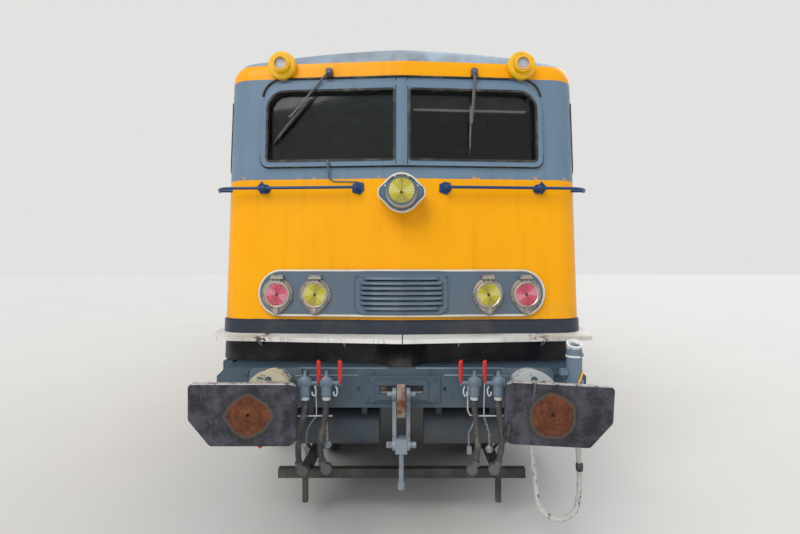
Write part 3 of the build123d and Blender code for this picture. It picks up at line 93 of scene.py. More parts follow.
class Value:
    """A number inside a material; reckoning with it adds nodes."""

    def __init__(self, paint, socket):
        self.paint = paint
        self.socket = socket

    def __add__(self, other):
        return self.paint.math("ADD", self, other)

    def __sub__(self, other):
        return self.paint.math("SUBTRACT", self, other)

    def __rsub__(self, other):
        return self.paint.math("SUBTRACT", other, self)

    def __mul__(self, other):
        return self.paint.math("MULTIPLY", self, other)

    def __abs__(self):
        return self.paint.math("ABSOLUTE", self)

    def step(self, low, high):
        """0 below low and 1 above high; low may be the larger of the two."""
        node = self.paint.node("MapRange", {"Value": self, "From Min": low, "From Max": high})
        node.interpolation_type = "SMOOTHSTEP"
        return Value(self.paint, node.outputs[0])

    def mix(self, a, b, kind="MIX"):
        return self.paint.mix(self, a, b, kind)


class Paint:
    """A node material with short names for the nodes it uses."""

    def __init__(self, name):
        self.material = bpy.data.materials.new(name)
        self.material.use_nodes = True
        self.tree = self.material.node_tree
        self.place = Value(self, self.node("TexCoord", {}).outputs["Object"])
        self.x, self.y, self.z = self.parts(self.place)

    def wire(self, value, socket):
        if isinstance(value, Value):
            self.tree.links.new(value.socket, socket)
        else:
            socket.default_value = value

    def node(self, kind, inputs):
        """A new node with its inputs, by name or number."""
        node = self.tree.nodes.new("ShaderNode" + kind)
        for key, value in inputs.items():
            self.wire(value, node.inputs[key])
        return node

    def parts(self, vector):
        return [Value(self, socket) for socket in self.node("SeparateXYZ", {0: vector}).outputs]

    def math(self, operation, a, b=0):
        node = self.node("Math", {0: a, 1: b})
        node.operation = operation
        return Value(self, node.outputs[0])

    def texture(self, kind, stretch, shift, inputs):
        shifts = (shift, shift * 0.7, shift * 0.4)
        place = self.node("Mapping", {"Scale": stretch, "Location": shifts, "Vector": self.place})
        return Value(self, self.node(kind, {"Vector": Value(self, place.outputs[0]), **inputs}).outputs[0])

    def noise(self, scale, detail=3, rough=0.55, stretch=(1, 1, 1), shift=0):
        return self.texture("TexNoise", stretch, shift, {"Scale": scale, "Detail": detail, "Roughness": rough})

    def facing(self):
        """The three parts of the surface's direction."""
        return self.parts(Value(self, self.node("NewGeometry", {}).outputs["Normal"]))

    def inside(self):
        """1 on the faces that look into the cabs and the machine room."""
        across, along, up = self.facing()
        past = self.math("MAXIMUM", abs(self.y) - CAB_MIDDLE)
        walls = across * self.x + along * self.math("SIGN", self.y) * past
        return self.math("MAXIMUM", walls.step(-0.3, -0.4), up.step(-0.4, -0.6) * self.z.step(1.6, 1.65))

    def ramp(self, value, stops, kind="LINEAR"):
        node = self.node("ValToRGB", {0: value})
        node.color_ramp.interpolation = kind
        elements = node.color_ramp.elements
        while len(elements) < len(stops):
            elements.new(0.5)
        for element, (position, color) in zip(elements, stops):
            element.position = position
            element.color = color
        return Value(self, node.outputs[0])

    def mix(self, amount, a, b, kind="MIX"):
        """The first colour, covered by the second as far as the amount says."""
        node = self.node("Mix", {})
        node.data_type = "RGBA"
        node.blend_type = kind
        for slot, value in ((0, amount), (6, a), (7, b)):
            self.wire(value, node.inputs[slot])
        return Value(self, node.outputs[2])

    def bump(self, height, distance, strength, below=None):
        node = self.node("Bump", {"Strength": strength, "Distance": distance, "Height": height})
        if below is not None:
            self.wire(below, node.inputs["Normal"])
        return Value(self, node.outputs[0])

    def done(self, color, rough, metal=0, normal=None, **constants):
        sockets = self.tree.nodes["Principled BSDF"].inputs
        for name, value in (("Base Color", color), ("Roughness", rough), ("Metallic", metal), ("Normal", normal)):
            if value is not None:
                self.wire(value, sockets[name])
        for name, value in constants.items():
            sockets[name.replace("_", " ")].default_value = value
        return self.material


DUST = rgb(112, 104, 92)
RUST = rgb(126, 66, 34)
DARK_RUST = rgb(74, 40, 26)
YELLOW = rgb(242, 162, 0)
BLUE_GREY = rgb(104, 126, 146)
ROOF_GREY = rgb(156, 174, 190)
HANDLE_RED = (206, 44, 40)
# The height that the ramp of the body's colours spans, and where they change, from the lowest up
BAND_REACH = 4
# The lowest band, below the footboard, is darkened as painted shade, and the dark strip above it is partly darkened
# as painted shade.
BODY_BANDS = ((0, rgb(27, 30, 35)), (1.396, rgb(48, 54, 64)), (1.519, YELLOW), (2.585, BLUE_GREY),
              (3.38, YELLOW), (3.516, ROOF_GREY))


def weathered(paint, color, dust, streak, rust, low, high, gloss):
    """Fading, rain streaks, dust low down, chips and rust specks over a paint colour."""
    fade = paint.noise(0.9, 4, 0.6, shift=3.1).step(0.35, 0.75)
    color = (fade * 0.16).mix(color, (1, 1, 1, 1), "SOFT_LIGHT")
    streaks = paint.noise(9, 5, 0.6, (1.6, 1.6, 0.07), 5.7).step(0.5, 0.78)
    color = (streaks * streak).mix(color, paint.mix(0.6, color, DUST, "MULTIPLY"))
    cloud = paint.noise(2.4, 5, 0.62, shift=9.2).step(0.42, 0.7)
    color = (cloud * paint.z.step(high, low) * dust).mix(color, DUST)
    specks = paint.noise(38, 4, 0.7, shift=1.3).step(0.7, 0.74)
    patch = paint.noise(2.1, 3, 0.6, shift=7.7).step(0.52, 0.68)
    chips = specks * patch * min(1, rust * 6)
    color = chips.mix(color, paint.noise(60, 2).mix(RUST, DARK_RUST))
    wave = paint.bump(paint.noise(1.3, 2, 0.5, shift=2.2), 0.006, 0.6)
    return color, (cloud + chips) * 0.22 + gloss, paint.bump(paint.noise(190, 3, 0.6), 0.0006, 0.5, wave)


def body_paint():
    """Dark below as painted shade, a dark strip partly darkened as painted shade, yellow, a blue-grey window band,
    yellow again, then the roof colour.
    """
    paint = Paint("body_enamel")
    ragged = (paint.noise(26, 4, 0.7) - 0.5) * 0.01
    bands = [(z / BAND_REACH, color) for z, color in BODY_BANDS]
    color = paint.ramp((paint.z + ragged) * (1 / BAND_REACH), bands, "CONSTANT")
    color, rough, normal = weathered(paint, color, 0.35, 0.22, 0.06, 1.2, 2, 0.3)
    # yellow showing through along the lower edge of the window band
    edge = abs(paint.z - 2.6).step(0.03, 0)
    worn = edge * paint.noise(14, 5, 0.75, (1, 1, 0.5), 4.4).step(0.56, 0.62)
    color = (worn * 0.7).mix(color, YELLOW)
    color = paint.inside().mix(color, rgb(128, 136, 124))
    return paint.done(color, rough, 0, normal, Coat_Weight=0.08, Coat_Roughness=0.12, Specular_IOR_Level=0.14)


def enamel(name, color, *wear):
    paint = Paint(name)
    color, rough, normal = weathered(paint, rgb(*color), *wear)
    return paint.done(color, rough, 0, normal)


def steel(name, color, rust, rough, metal, scale, grime):
    """Bare or half painted steel with rust in patches."""
    paint = Paint(name)
    patch = paint.noise(scale, 6, 0.68, shift=2).step(0.62 - rust * 0.35, 0.78 - rust * 0.35)
    grain = paint.noise(70, 4, 0.7)
    tone = (paint.noise(3.2, 4, 0.6, shift=6) * grime).mix(rgb(*color), rgb(24, 22, 22))
    normal = paint.bump(grain + patch * 0.6, 0.0015, 0.6)
    return paint.done(patch.mix(tone, grain.mix(RUST, DARK_RUST)), patch * 0.35 + rough, (1 - patch) * metal, normal)


def roof_paint():
    paint = Paint("roof_enamel")
    color = paint.noise(1.7, 5, 0.6).step(0.35, 0.7).mix(ROOF_GREY, rgb(124, 140, 154))
    color, rough, normal = weathered(paint, color, 0.6, 0.3, 0.3, 0, 9, 0.5)
    soot = paint.noise(3, 5, 0.7, shift=8).step(0.5, 0.75) * 0.4
    return paint.done(soot.mix(color, rgb(58, 54, 50)), rough, 0, normal)


def chequer_paint():
    """White chequer plate with worn teeth, chips and rust along its front edge."""
    paint = Paint("chequer_white")
    color = paint.noise(2.2, 5, 0.65).step(0.4, 0.7).mix(rgb(222, 221, 214), rgb(186, 182, 172))
    teeth = paint.texture("TexVoronoi", (1, 1, 0.02), 0, {"Scale": 48}).step(0.26, 0.16)
    color = (teeth * 0.35).mix(color, rgb(120, 116, 108))
    chips = paint.noise(7, 6, 0.75, (1, 1, 1.4), 2.6).step(0.655, 0.675)
    color = chips.mix(color, paint.noise(45, 3).mix(RUST, rgb(60, 52, 46)))
    seam = abs(paint.x - 0.007).step(0.0045, 0.0035)
    for place in (-1, 0.99):
        worn = abs(paint.x - place).step(0.1, 0.02) * paint.noise(26, 5, 0.7, shift=6).step(0.5, 0.54)
        color = worn.mix(color, rgb(74, 66, 58))
    normal = paint.bump(teeth - paint.math("MAXIMUM", chips, seam), 0.002, 0.7)
    return paint.done(seam.mix(color, rgb(46, 46, 48)), chips * 0.3 + 0.5, 0, normal)


def buffer_paint():
    """Dark steel face with a rust roundel, a stain round it, a pale ring, and pale upward faces that are partly
    rubbed wear and partly painted highlight.
    """
    paint = Paint("buffer_face")
    across = abs(abs(paint.x) - BUFFER_X)
    up = abs(paint.z - BUFFER_Z)
    circle = paint.math("SQRT", across * across + up * up)
    diamond = across * 0.78 + up * 0.98
    left = paint.x.step(0.01, -0.01)
    reach = left * (circle * 0.62 + diamond * 0.38) + (1 - left) * circle
    reach = reach + (paint.noise(16, 5, 0.7) - 0.5) * 0.045
    mottled = paint.noise(11, 6, 0.7, shift=1)
    tone = mottled.step(0.36, 0.64).mix(rgb(36, 35, 43), rgb(76, 74, 84))
    scratch = paint.noise(30, 4, 0.7, (1, 1, 0.12), 3).step(0.62, 0.72)
    tone = (scratch * 0.35).mix(tone, rgb(138, 130, 130))
    tone = (reach.step(0.185, 0.125) * 0.75).mix(tone, rgb(40, 38, 38))
    # Upward faces painted pale in patches: a painted highlight along the tops, partly rubbed wear.
    rubbed_and_highlit_tops = paint.facing()[2].step(0.35, 0.75) * paint.noise(24, 4, 0.7, shift=8).step(0.36, 0.5)
    tone = (rubbed_and_highlit_tops * 0.8).mix(tone, rgb(188, 186, 186))
    face = abs(paint.y).step(9.44, 9.47)
    rim = abs(reach - 0.126).step(0.012, 0.004)
    tone = (rim * face * 0.4).mix(tone, rgb(102, 97, 88))
    core = reach.step(0.124, 0.116) * face
    rust_tones = ((0.3, rgb(50, 24, 11)), (0.52, rgb(92, 44, 18)), (0.7, rgb(118, 70, 38)))
    tone = core.mix(tone, paint.ramp(paint.noise(22, 6, 0.7, shift=5), rust_tones))
    normal = paint.bump(mottled + core * 0.5, 0.003, 0.5)
    return paint.done(tone, core * 0.4 + 0.45, (1 - core) * 0.35, normal)


def casing_paint():
    """Blue-grey buffer casings whose top paint has peeled to cream."""
    paint = Paint("casing_paint")
    color, rough, normal = weathered(paint, rgb(82, 98, 110), 0.5, 0.2, 0.3, 0.6, 1.6, 0.5)
    peel = paint.noise(8, 5, 0.75, shift=4).step(0.4, 0.44) * paint.z.step(1.15, 1.185)
    under = paint.x.step(0.1, -0.1).mix(rgb(176, 182, 180), rgb(196, 186, 158))
    return paint.done((peel * abs(paint.y).step(8.868, 8.876)).mix(color, under), rough, 0, normal)


def cock_paint():
    """Pale blue-grey cocks and sockets with red shut-off handles."""
    paint = Paint("cock_enamel")
    color, rough, normal = weathered(paint, rgb(100, 118, 133), 0.5, 0.2, 0.3, 0.7, 1.4, 0.42)
    outer = abs(abs(paint.x) - 0.558).step(0.034, 0.032)
    grip = paint.math("MAXIMUM", outer, abs(paint.x).step(0.44, 0.438)) * paint.z.step(1.174, 1.177)
    return paint.done(grip.mix(color, rgb(*HANDLE_RED)), rough, 0, normal)


def rubber(name, color, rough):
    paint = Paint(name)
    color = rgb(*color)
    worn = paint.noise(9, 5, 0.7, shift=2).step(0.45, 0.75)
    color = worn.mix(color, paint.mix(0.5, color, rgb(140, 136, 128)))
    return paint.done(color, rough, 0, paint.bump(paint.noise(120, 4, 0.6), 0.0008, 0.5))


def worn_white_rubber():
    """White paint over dark rubber, flaked in long flecks."""
    paint = Paint("cable_white")
    flakes = paint.noise(34, 6, 0.75, (1, 1, 0.45), 3.3).step(0.54, 0.6)
    amount = flakes * (paint.z.step(0.9, 0.25) * 0.6 + 0.35)
    white = paint.noise(12, 4).mix(rgb(206, 203, 198), rgb(176, 172, 166))
    return paint.done(amount.mix(white, rgb(72, 68, 64)), 0.7, 0, paint.bump(amount * -1, 0.001, 0.6))


def window_glass():
    paint = Paint("window_glass")
    smear = paint.noise(5, 5, 0.65).step(0.45, 0.8) * 0.1
    return paint.done(rgb(92, 104, 108), smear + 0.02, Transmission_Weight=1, IOR=1.45, Alpha=0.5)


def lens_glass():
    """Rayed lenses: red at the outer markers, yellow inside and at the centre, clear on the roof, with a painted
    highlight on one diagonal side and painted shade on the other.
    """
    paint = Paint("lens_glass")
    outer = abs(paint.x).step(0.785, 0.79)
    middle = abs(paint.x).step(0.3, 0.2)
    across = abs(paint.x) - (outer * 0.286 + 0.644) * (1 - middle)
    up = paint.z - (middle * 0.744 + MARKER_Z)
    turn = paint.math("ARCTAN2", up, across)
    reach = paint.math("SQRT", across * across + up * up)
    rays = paint.math("SINE", turn * 26)
    # One diagonal side of each lens is painted pale as a highlight, the opposite side deep as painted shade.
    painted_light_side = paint.math("SINE", turn * 2 + 0.9)
    deep = outer.mix(rgb(120, 116, 8), rgb(176, 28, 56))
    color = outer.mix(rgb(208, 192, 32), rgb(216, 84, 108))
    color = (painted_light_side.step(0.3, 0.95) * 0.55).mix(color, outer.mix(rgb(240, 238, 150), rgb(246, 176, 190)))
    color = (painted_light_side.step(-0.2, -0.9) * 0.5).mix(color, deep)
    color = (rays.step(0, 1) * 0.3).mix(color, deep)
    color = reach.step(0.013, 0.008).mix(color, rgb(52, 30, 16))
    color = paint.z.step(3, 3.05).mix(color, rgb(196, 200, 206))
    normal = paint.bump(rays + paint.math("SINE", reach * 620), 0.0012, 0.6)
    return paint.done(color, 0.1, 0, normal, Transmission_Weight=0.25, IOR=1.45, Coat_Weight=0.6)


def lamp_metal():
    """Cast marker lamps, a cream headlight with a blue-grey front plate, and yellow roof lamps."""
    paint = Paint("lamp_metal")
    cast = paint.noise(16, 5, 0.7, shift=2).step(0.35, 0.7).mix(rgb(172, 162, 151), rgb(120, 109, 101))
    grime = paint.noise(44, 4, 0.7, shift=5).step(0.56, 0.68) * 0.55
    headlight = abs(paint.y).step(8.735, 8.745).mix(rgb(214, 204, 176), rgb(78, 94, 110))
    yellow = (paint.noise(9, 4, 0.6).step(0.5, 0.75) * 0.4).mix(rgb(236, 184, 4), rgb(176, 128, 12))
    color = paint.z.step(2.1, 2.2).mix(grime.mix(cast, rgb(78, 66, 62)), headlight)
    color = paint.z.step(3, 3.1).mix(color, yellow)
    return paint.done(color, 0.42, paint.z.step(2.1, 2) * 0.35, paint.bump(paint.noise(60, 4, 0.7), 0.0012, 0.6))


def porcelain(paint):
    return paint.noise(6, 3).mix(rgb(92, 40, 22), rgb(118, 56, 30))


def mast_paint():
    """Galvanised mast steel with brown porcelain insulators below the frames."""
    paint = Paint("mast_paint")
    rust = paint.noise(70, 4, 0.7).mix(RUST, DARK_RUST)
    metal = paint.noise(5, 6, 0.68, shift=2).step(0.54, 0.7).mix(rgb(128, 122, 114), rust)
    below = paint.z.step(3.878, 3.874)
    normal = paint.bump(paint.noise(80, 3, 0.6), 0.0008, 0.5)
    return paint.done(below.mix(metal, porcelain(paint)), 0.55 - below * 0.38, (1 - below) * 0.4, normal)


def bus_paint():
    """Copper bus bar, painted feet and brown porcelain between them."""
    paint = Paint("bus_paint")
    bar = paint.noise(12, 4, 0.7).step(0.45, 0.65).mix(rgb(132, 84, 56), rgb(86, 108, 96))
    above = paint.z.step(3.925, 3.93)
    normal = paint.bump(paint.noise(60, 3, 0.6), 0.0008, 0.4)
    return paint.done(above.mix(porcelain(paint), bar), above * 0.3 + 0.2, 0.1, normal)


# name, colour, dust, streaks, rust, where dust is full and where it ends, roughness
ENAMELS = {
    "trim": ("trim_enamel", (80, 98, 114), 0.25, 0.25, 0.05, 1.4, 3.4, 0.34),
    "interior": ("interior_enamel", (74, 80, 74), 0.2, 0.1, 0, 1, 2.2, 0.6),
    "machine": ("machine_enamel", (96, 100, 98), 0.4, 0.2, 0.1, 1, 2.2, 0.6),
    "underframe": ("frame_enamel", (60, 78, 93), 0.55, 0.25, 0.35, 0.5, 1.5, 0.48),
    # The bogie enamel is darkened as painted shade for the deep shade under the body.
    "bogie": ("bogie_enamel_painted_shade", (38, 40, 42), 0.6, 0.3, 0.5, 0.1, 1.6, 0.62),
    "box": ("box_enamel", (54, 65, 76), 0.6, 0.3, 0.3, 0.4, 1.2, 0.55),
    "rail_blue": ("rail_enamel", (0, 52, 100), 0.1, 0.1, 0.1, 1, 2.2, 0.28),
    "red": ("handle_red", HANDLE_RED, 0.1, 0.1, 0.1, 1, 2.2, 0.35),
    "wing_white": ("wing_white", (214, 214, 210), 0.3, 0.1, 0.2, 0.5, 1.4, 0.4),
    "lamp_yellow": ("lamp_yellow", (242, 172, 8), 0.2, 0.3, 0.1, 3, 4, 0.36),
    "rim_cream": ("rim_cream", (214, 208, 192), 0.3, 0.25, 0.1, 1.4, 3, 0.45),
    "white": ("fitting_white", (190, 193, 194), 0.3, 0.2, 0.15, 0.6, 1.4, 0.5),
    "ledge_highlight": ("ledge_highlight", (150, 164, 170), 0.2, 0.1, 0.2, 1, 2.2, 0.5),
}
# name, colour, rust, roughness, metal, scale of the rust patches, grime
STEELS = {
    "lamp_ring": ("lamp_ring", (176, 172, 160), 0.06, 0.4, 0.55, 9, 0.3),
    "hook": ("hook_steel", (150, 140, 128), 0.45, 0.55, 0.35, 9, 0.3),
    "link": ("link_steel", (140, 150, 160), 0.24, 0.48, 0.25, 9, 0.3),
    "wheel": ("wheel_steel", (86, 80, 76), 0.42, 0.42, 0.7, 3, 0.5),
    "gear": ("gear_steel", (60, 60, 60), 0.3, 0.55, 0.4, 3, 0.6),
    "mast": ("mast_steel", (110, 106, 102), 0.3, 0.5, 0.5, 5, 0.4),
    "bright": ("bright_steel", (200, 198, 192), 0.05, 0.3, 0.9, 8, 0.2),
    "wiper": ("wiper_steel", (116, 110, 114), 0.12, 0.45, 0.5, 12, 0.4),
    "head": ("head_steel", (104, 104, 106), 0.2, 0.55, 0.25, 9, 0.5),
    "spring": ("spring_steel", (64, 62, 60), 0.35, 0.55, 0.4, 6, 0.5),
}
# name, colour, roughness
RUBBERS = {
    "seat": ("seat_cover", (30, 30, 32), 0.55), "hose": ("hose_rubber", (62, 60, 60), 0.7),
    "black": ("black_rubber", (22, 22, 24), 0.6), "blind": ("blind_cloth", (74, 74, 68), 0.9),
}
MATERIALS = {
    "body": body_paint(), "roof": roof_paint(), "chequer": chequer_paint(), "buffer": buffer_paint(),
    "casing": casing_paint(), "cock": cock_paint(), "cable": worn_white_rubber(), "lens": lens_glass(),
    "window": window_glass(), "lamp_metal": lamp_metal(), "mast_paint": mast_paint(), "bus": bus_paint(),
}
for kind, table in ((enamel, ENAMELS), (steel, STEELS), (rubber, RUBBERS)):
    for look, row in table.items():
        MATERIALS[look] = kind(*row)

# Each look, and how the names of the solids that wear it start
NODE_LOOKS = {
    "body": "cab_front cab_rear side_walls door_ windscreen_frames", "roof": "roof_panels",
    "interior": "cab_partitions cab_desks", "seat": "cab_seats", "machine": "machine_block",
    "window": "window_glass", "trim": "light_panels", "lamp_metal": "lamp_housings", "lens": "lamp_lenses",
    "chequer": "footboards", "rail_blue": "handrails", "bogie": "cab_steps bogie_frame",
    "underframe": "underframe", "casing": "buffer_casings", "buffer": "buffer_heads", "hook": "drawhooks",
    "link": "screw_couplings", "cock": "brake_cocks jumper_sockets", "head": "hose_heads",
    "box": "air_reservoirs underfloor_boxes", "mast_paint": "pantograph_bases", "bus": "roof_equipment",
    "wiper": "wipers", "gear": "axle_gear traction", "wheel": "wheelset", "hose": "brake_hose",
    "cable": "jumper_cable", "mast": "lower_arm upper_arm collector",
}
for name, node in nodes.items():
    look = next(look for look, starts in NODE_LOOKS.items() if name.startswith(tuple(starts.split())))
    node.data.materials.clear()
    node.data.materials.append(MATERIALS[look])


# Shapes
def at(x, y=0, z=0):
    return Vector((x, y, z))


def surface(*names):
    """A search tree over the named nodes, to set pieces on their skin."""
    vertices = []
    faces = []
    for name in names:
        mesh = nodes[name].data
        start = len(vertices)
        vertices += [v.co.copy() for v in mesh.vertices]
        faces += [[start + i for i in face.vertices] for face in mesh.polygons]
    return BVHTree.FromPolygons(vertices, faces)


CAB = surface("cab_front", "light_panels", "windscreen_frames")
CAB_SKIN = surface("cab_front", "light_panels")
LAMP_SKIN = surface("lamp_housings")
FRAME_SKIN = surface("windscreen_frames", "cab_front", "window_glass")
STOCK_SKIN = surface("underframe", "buffer_casings")
SIDE_SKIN = surface("cab_front", "cab_rear", "side_walls", "door_front_left", "door_front_right")
ROOF_SKIN = surface("roof_panels")


def from_ahead(tree, x, z):
    """The point that a line from ahead meets, and its outward direction."""
    point, normal = tree.ray_cast(at(x, FRONT - 1, z), Vector(BACK))[:2]
    return point, normal if normal.y < 0 else -normal


def on_skin(x, z, out=0, tree=CAB):
    point, normal = from_ahead(tree, x, z)
    return point + normal * out


def on_stock(x, z):
    return from_ahead(STOCK_SKIN, x, z)[0]


def side_at(y, z, out=0):
    return SIDE_SKIN.ray_cast(at(3, y, z), at(-1))[0] + at(out)


def roof_at(x, y):
    return ROOF_SKIN.ray_cast(at(x, y, 6), Vector(DOWN))[0].z


def turned(count, start=0):
    """Cosine and sine of even steps round a circle, from a first angle in degrees."""
    angles = [math.radians(start + 360 / count * i) for i in range(count)]
    return [(math.cos(a), math.sin(a)) for a in angles]


class Shape:
    """A mesh under construction, made of simple turned, bent and bevelled forms."""

    def __init__(self):
        self.mesh = bmesh.new()

    def box(self, low, high, bevel):
        low, high = Vector(low), Vector(high)
        made = bmesh.ops.create_cube(self.mesh, size=1)["verts"]
        bmesh.ops.scale(self.mesh, vec=high - low, verts=made)
        edges = list({edge for vertex in made for edge in vertex.link_edges})
        made = bmesh.ops.bevel(self.mesh, geom=edges, offset=bevel, segments=2, affect="EDGES")["verts"]
        bmesh.ops.translate(self.mesh, vec=(low + high) / 2, verts=made)

    def lathe(self, origin, direction, profile, segments=24):
        """Turns (radius, along) pairs about a line."""
        turn = Vector(direction).normalized().to_track_quat("Z", "Y").to_matrix()
        origin = Vector(origin)
        rings = []
        for radius, along in profile:
            angles = [2 * math.pi * i / segments for i in range(segments)] if radius > 0 else [0]
            ring = [at(radius * math.cos(a), radius * math.sin(a), along) for a in angles]
            rings.append([self.mesh.verts.new(origin + turn @ point) for point in ring])
        self.skin(rings, True)

    def skin(self, rings, closed):
        for first, second in zip(rings, rings[1:]):
            if len(first) == 1 and len(second) == 1:
                continue
            count = max(len(first), len(second))
            for i in range(count if closed else count - 1):
                j = (i + 1) % count
                if len(first) == 1:
                    corners = [first[0], second[j], second[i]]
                elif len(second) == 1:
                    corners = [first[i], first[j], second[0]]
                else:
                    corners = [first[i], first[j], second[j], second[i]]
                self.mesh.faces.new(corners)

    def tube(self, points, radius, segments=8, taper=None):
        """A round bar along a line of points, closed at both ends."""
        points = [Vector(point) for point in points]
        rings = []
        side = None
        for i, point in enumerate(points):
            ahead = points[min(i + 1, len(points) - 1)] - points[max(i - 1, 0)]
            ahead.normalize()
            if side is None:
                side = ahead.orthogonal().normalized()
            side = (side - ahead * side.dot(ahead)).normalized()
            other = ahead.cross(side)
            size = radius if taper is None else radius + (taper - radius) * i / (len(points) - 1)
            rings.append([self.mesh.verts.new(point + size * (side * math.cos(a) + other * math.sin(a)))
                          for a in (2 * math.pi * k / segments for k in range(segments))])
        self.skin(rings, True)
        self.mesh.faces.new(list(reversed(rings[0])))
        self.mesh.faces.new(rings[-1])

    def loop(self, points, radius, segments=6):
        """A round bar that comes back to its first point."""
        self.tube(points + points[:1], radius, segments)

    def plate(self, outline, origin, across, up, thickness, bevel=0):
        """A flat piece from (across, up) pairs, standing out by its thickness."""
        across, up = Vector(across).normalized(), Vector(up).normalized()
        out = across.cross(up)
        back = [self.mesh.verts.new(Vector(origin) + across * u + up * v) for u, v in outline]
        front = [self.mesh.verts.new(vertex.co + out * thickness) for vertex in back]
        face = self.mesh.faces.new(front)
        self.mesh.faces.new(list(reversed(back)))
        for i in range(len(back)):
            j = (i + 1) % len(back)
            self.mesh.faces.new([back[i], back[j], front[j], front[i]])
        if bevel:
            bmesh.ops.bevel(self.mesh, geom=list(face.edges), offset=bevel, segments=2, affect="EDGES")

    def bolts(self, places, direction, radius):
        """Hexagon heads on washers."""
        washer = radius * 1.35
        top = radius * 0.8
        crown = top * 1.15
        for place in places:
            self.lathe(place, direction, [(0, -0.002), (washer, -0.002), (washer, 0.003), (radius, 0.003)], 16)
            self.lathe(place, direction, [(radius, 0.003), (radius, top), (radius * 0.8, crown), (0, crown)], 6)

    def sides(self):
        """Adds the mirror image on the other side."""
        made = self.copy(Matrix.Scale(-1, 4, RIGHT))
        bmesh.ops.reverse_faces(self.mesh, faces=[item for item in made if isinstance(item, bmesh.types.BMFace)])
        return self

    def ends(self):
        """Adds the same at the other end, turned half round."""
        self.copy(HALF_TURN)
        return self

    def copy(self, matrix):
        geometry = self.mesh.verts[:] + self.mesh.edges[:] + self.mesh.faces[:]
        made = bmesh.ops.duplicate(self.mesh, geom=geometry)["geom"]
        vertices = [item for item in made if isinstance(item, bmesh.types.BMVert)]
        bmesh.ops.transform(self.mesh, matrix=matrix, verts=vertices)
        return made

    def make(self, name, look, body="body"):
        mesh = bpy.data.meshes.new(name)
        self.mesh.to_mesh(mesh)
        self.mesh.free()
        mesh.shade_smooth()
        mesh.set_sharp_from_angle(angle=math.radians(35))
        mesh.materials.append(MATERIALS[look])
        piece = bpy.data.objects.new(name, mesh)
        scene.collection.objects.link(piece)
        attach(piece, body)
        return piece


def arc(centre, radius, start, end, count):
    """(across, up) pairs along an arc, in degrees."""
    angles = [math.radians(start + (end - start) * i / (count - 1)) for i in range(count)]
    return [(centre[0] + radius * math.cos(a), centre[1] + radius * math.sin(a)) for a in angles]


def rounded_box(left, right, low, high, radius, count=6):
    """(across, up) pairs of a rectangle with round corners."""
    left, right, low, high = left + radius, right - radius, low + radius, high - radius
    corners = ((right, low), (right, high), (left, high), (left, low))
    return [pair for i, centre in enumerate(corners) for pair in arc(centre, radius, 90 * i - 90, 90 * i, count)]


def between(outline, step):
    """Adds points along an outline so that it can follow a curved skin."""
    pairs = []
    for (x0, z0), (x1, z1) in zip(outline, outline[1:] + outline[:1]):
        count = max(1, int(math.hypot(x1 - x0, z1 - z0) / step))
        pairs += [(x0 + (x1 - x0) * i / count, z0 + (z1 - z0) * i / count) for i in range(count)]
    return pairs


def ridge(shape, x0, x1, count, profile, tree=CAB, drawn=True):
    """A ridge along X that follows the skin: (z, out) pairs, drawn in at both ends or cut square."""
    rings = []
    middle = (profile[0][0] + profile[-1][0]) / 2
    for i in range(count + 1):
        x = x0 + (x1 - x0) * i / count
        tall, deep = (0.4, 0.15) if drawn and i in (0, count) else (1, 1)
        rings.append([shape.mesh.verts.new(on_skin(x, middle + (z - middle) * tall, out * deep, tree))
                      for z, out in profile])
    shape.skin(rings, False)
    shape.mesh.faces.new(rings[0])
    shape.mesh.faces.new(list(reversed(rings[-1])))
    for first, second in zip(rings, rings[1:]):
        shape.mesh.faces.new([first[0], second[0], second[-1], first[-1]])


# Hoses and the jumper cable, as in the solids: x, y from the buffer face, and z
HOSE_Y = (0.54, 0.54, 0.534, 0.526, 0.523, 0.526)
HOSE_Z = (1.045, 0.98, 0.888, 0.786)
# x along each hose, and its last two heights
HOSES = {
    "brake_hose_outer_left": ((-0.655, -0.655, -0.668, -0.692, -0.704, -0.696), (0.69, 0.605)),
    "brake_hose_inner_left": ((-0.51, -0.51, -0.522, -0.544, -0.554, -0.54), (0.695, 0.615)),
    "brake_hose_inner_right": ((0.497, 0.497, 0.506, 0.518, 0.52, 0.508), (0.695, 0.612)),
    "brake_hose_outer_right": ((0.66, 0.66, 0.67, 0.684, 0.682, 0.662), (0.695, 0.612)),
}
CABLE = (
    (0.9, 0.67, 0.9), (0.9, 0.67, 0.805), (0.909, 0.655, 0.7), (0.918, 0.63, 0.585), (0.926, 0.6, 0.465),
    (0.932, 0.572, 0.349), (0.944, 0.552, 0.285), (0.986, 0.538, 0.234), (1.047, 0.526, 0.212),
    (1.111, 0.514, 0.224), (1.161, 0.503, 0.266), (1.184, 0.494, 0.327), (1.193, 0.488, 0.4),
    (1.196, 0.484, 0.5), (1.193, 0.481, 0.615), (1.183, 0.48, 0.74), (1.168, 0.48, 0.86),
    (1.158, 0.48, 0.97), (1.158, 0.48, 1.08),
)


def cord_curve(name, route, radius, look):
    points = [(x, FRONT + y, z) for x, y, z in route]
    data = bpy.data.curves.new(name, "CURVE")
    data.dimensions = "3D"
    data.bevel_depth = radius
    data.bevel_resolution = 5
    data.resolution_u = 10
    data.use_fill_caps = True
    spline = data.splines.new("NURBS")
    spline.points.add(len(points) - 1)
    for slot, point in zip(spline.points, points):
        slot.co = (*point, 1)
    spline.order_u = 3
    spline.use_endpoint_u = True
    data.materials.append(MATERIALS[look])
    piece = bpy.data.objects.new(name, data)
    scene.collection.objects.link(piece)
    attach(piece, "body")
    return piece, points


for name, (across, ends) in HOSES.items():
    hose, points = cord_curve(name + "_rubber", zip(across, HOSE_Y, HOSE_Z + ends), 0.0205, "hose")
    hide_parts(name)
cable, points = cord_curve("jumper_cable_rubber", CABLE, 0.018, "cable")
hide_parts("jumper_cable")

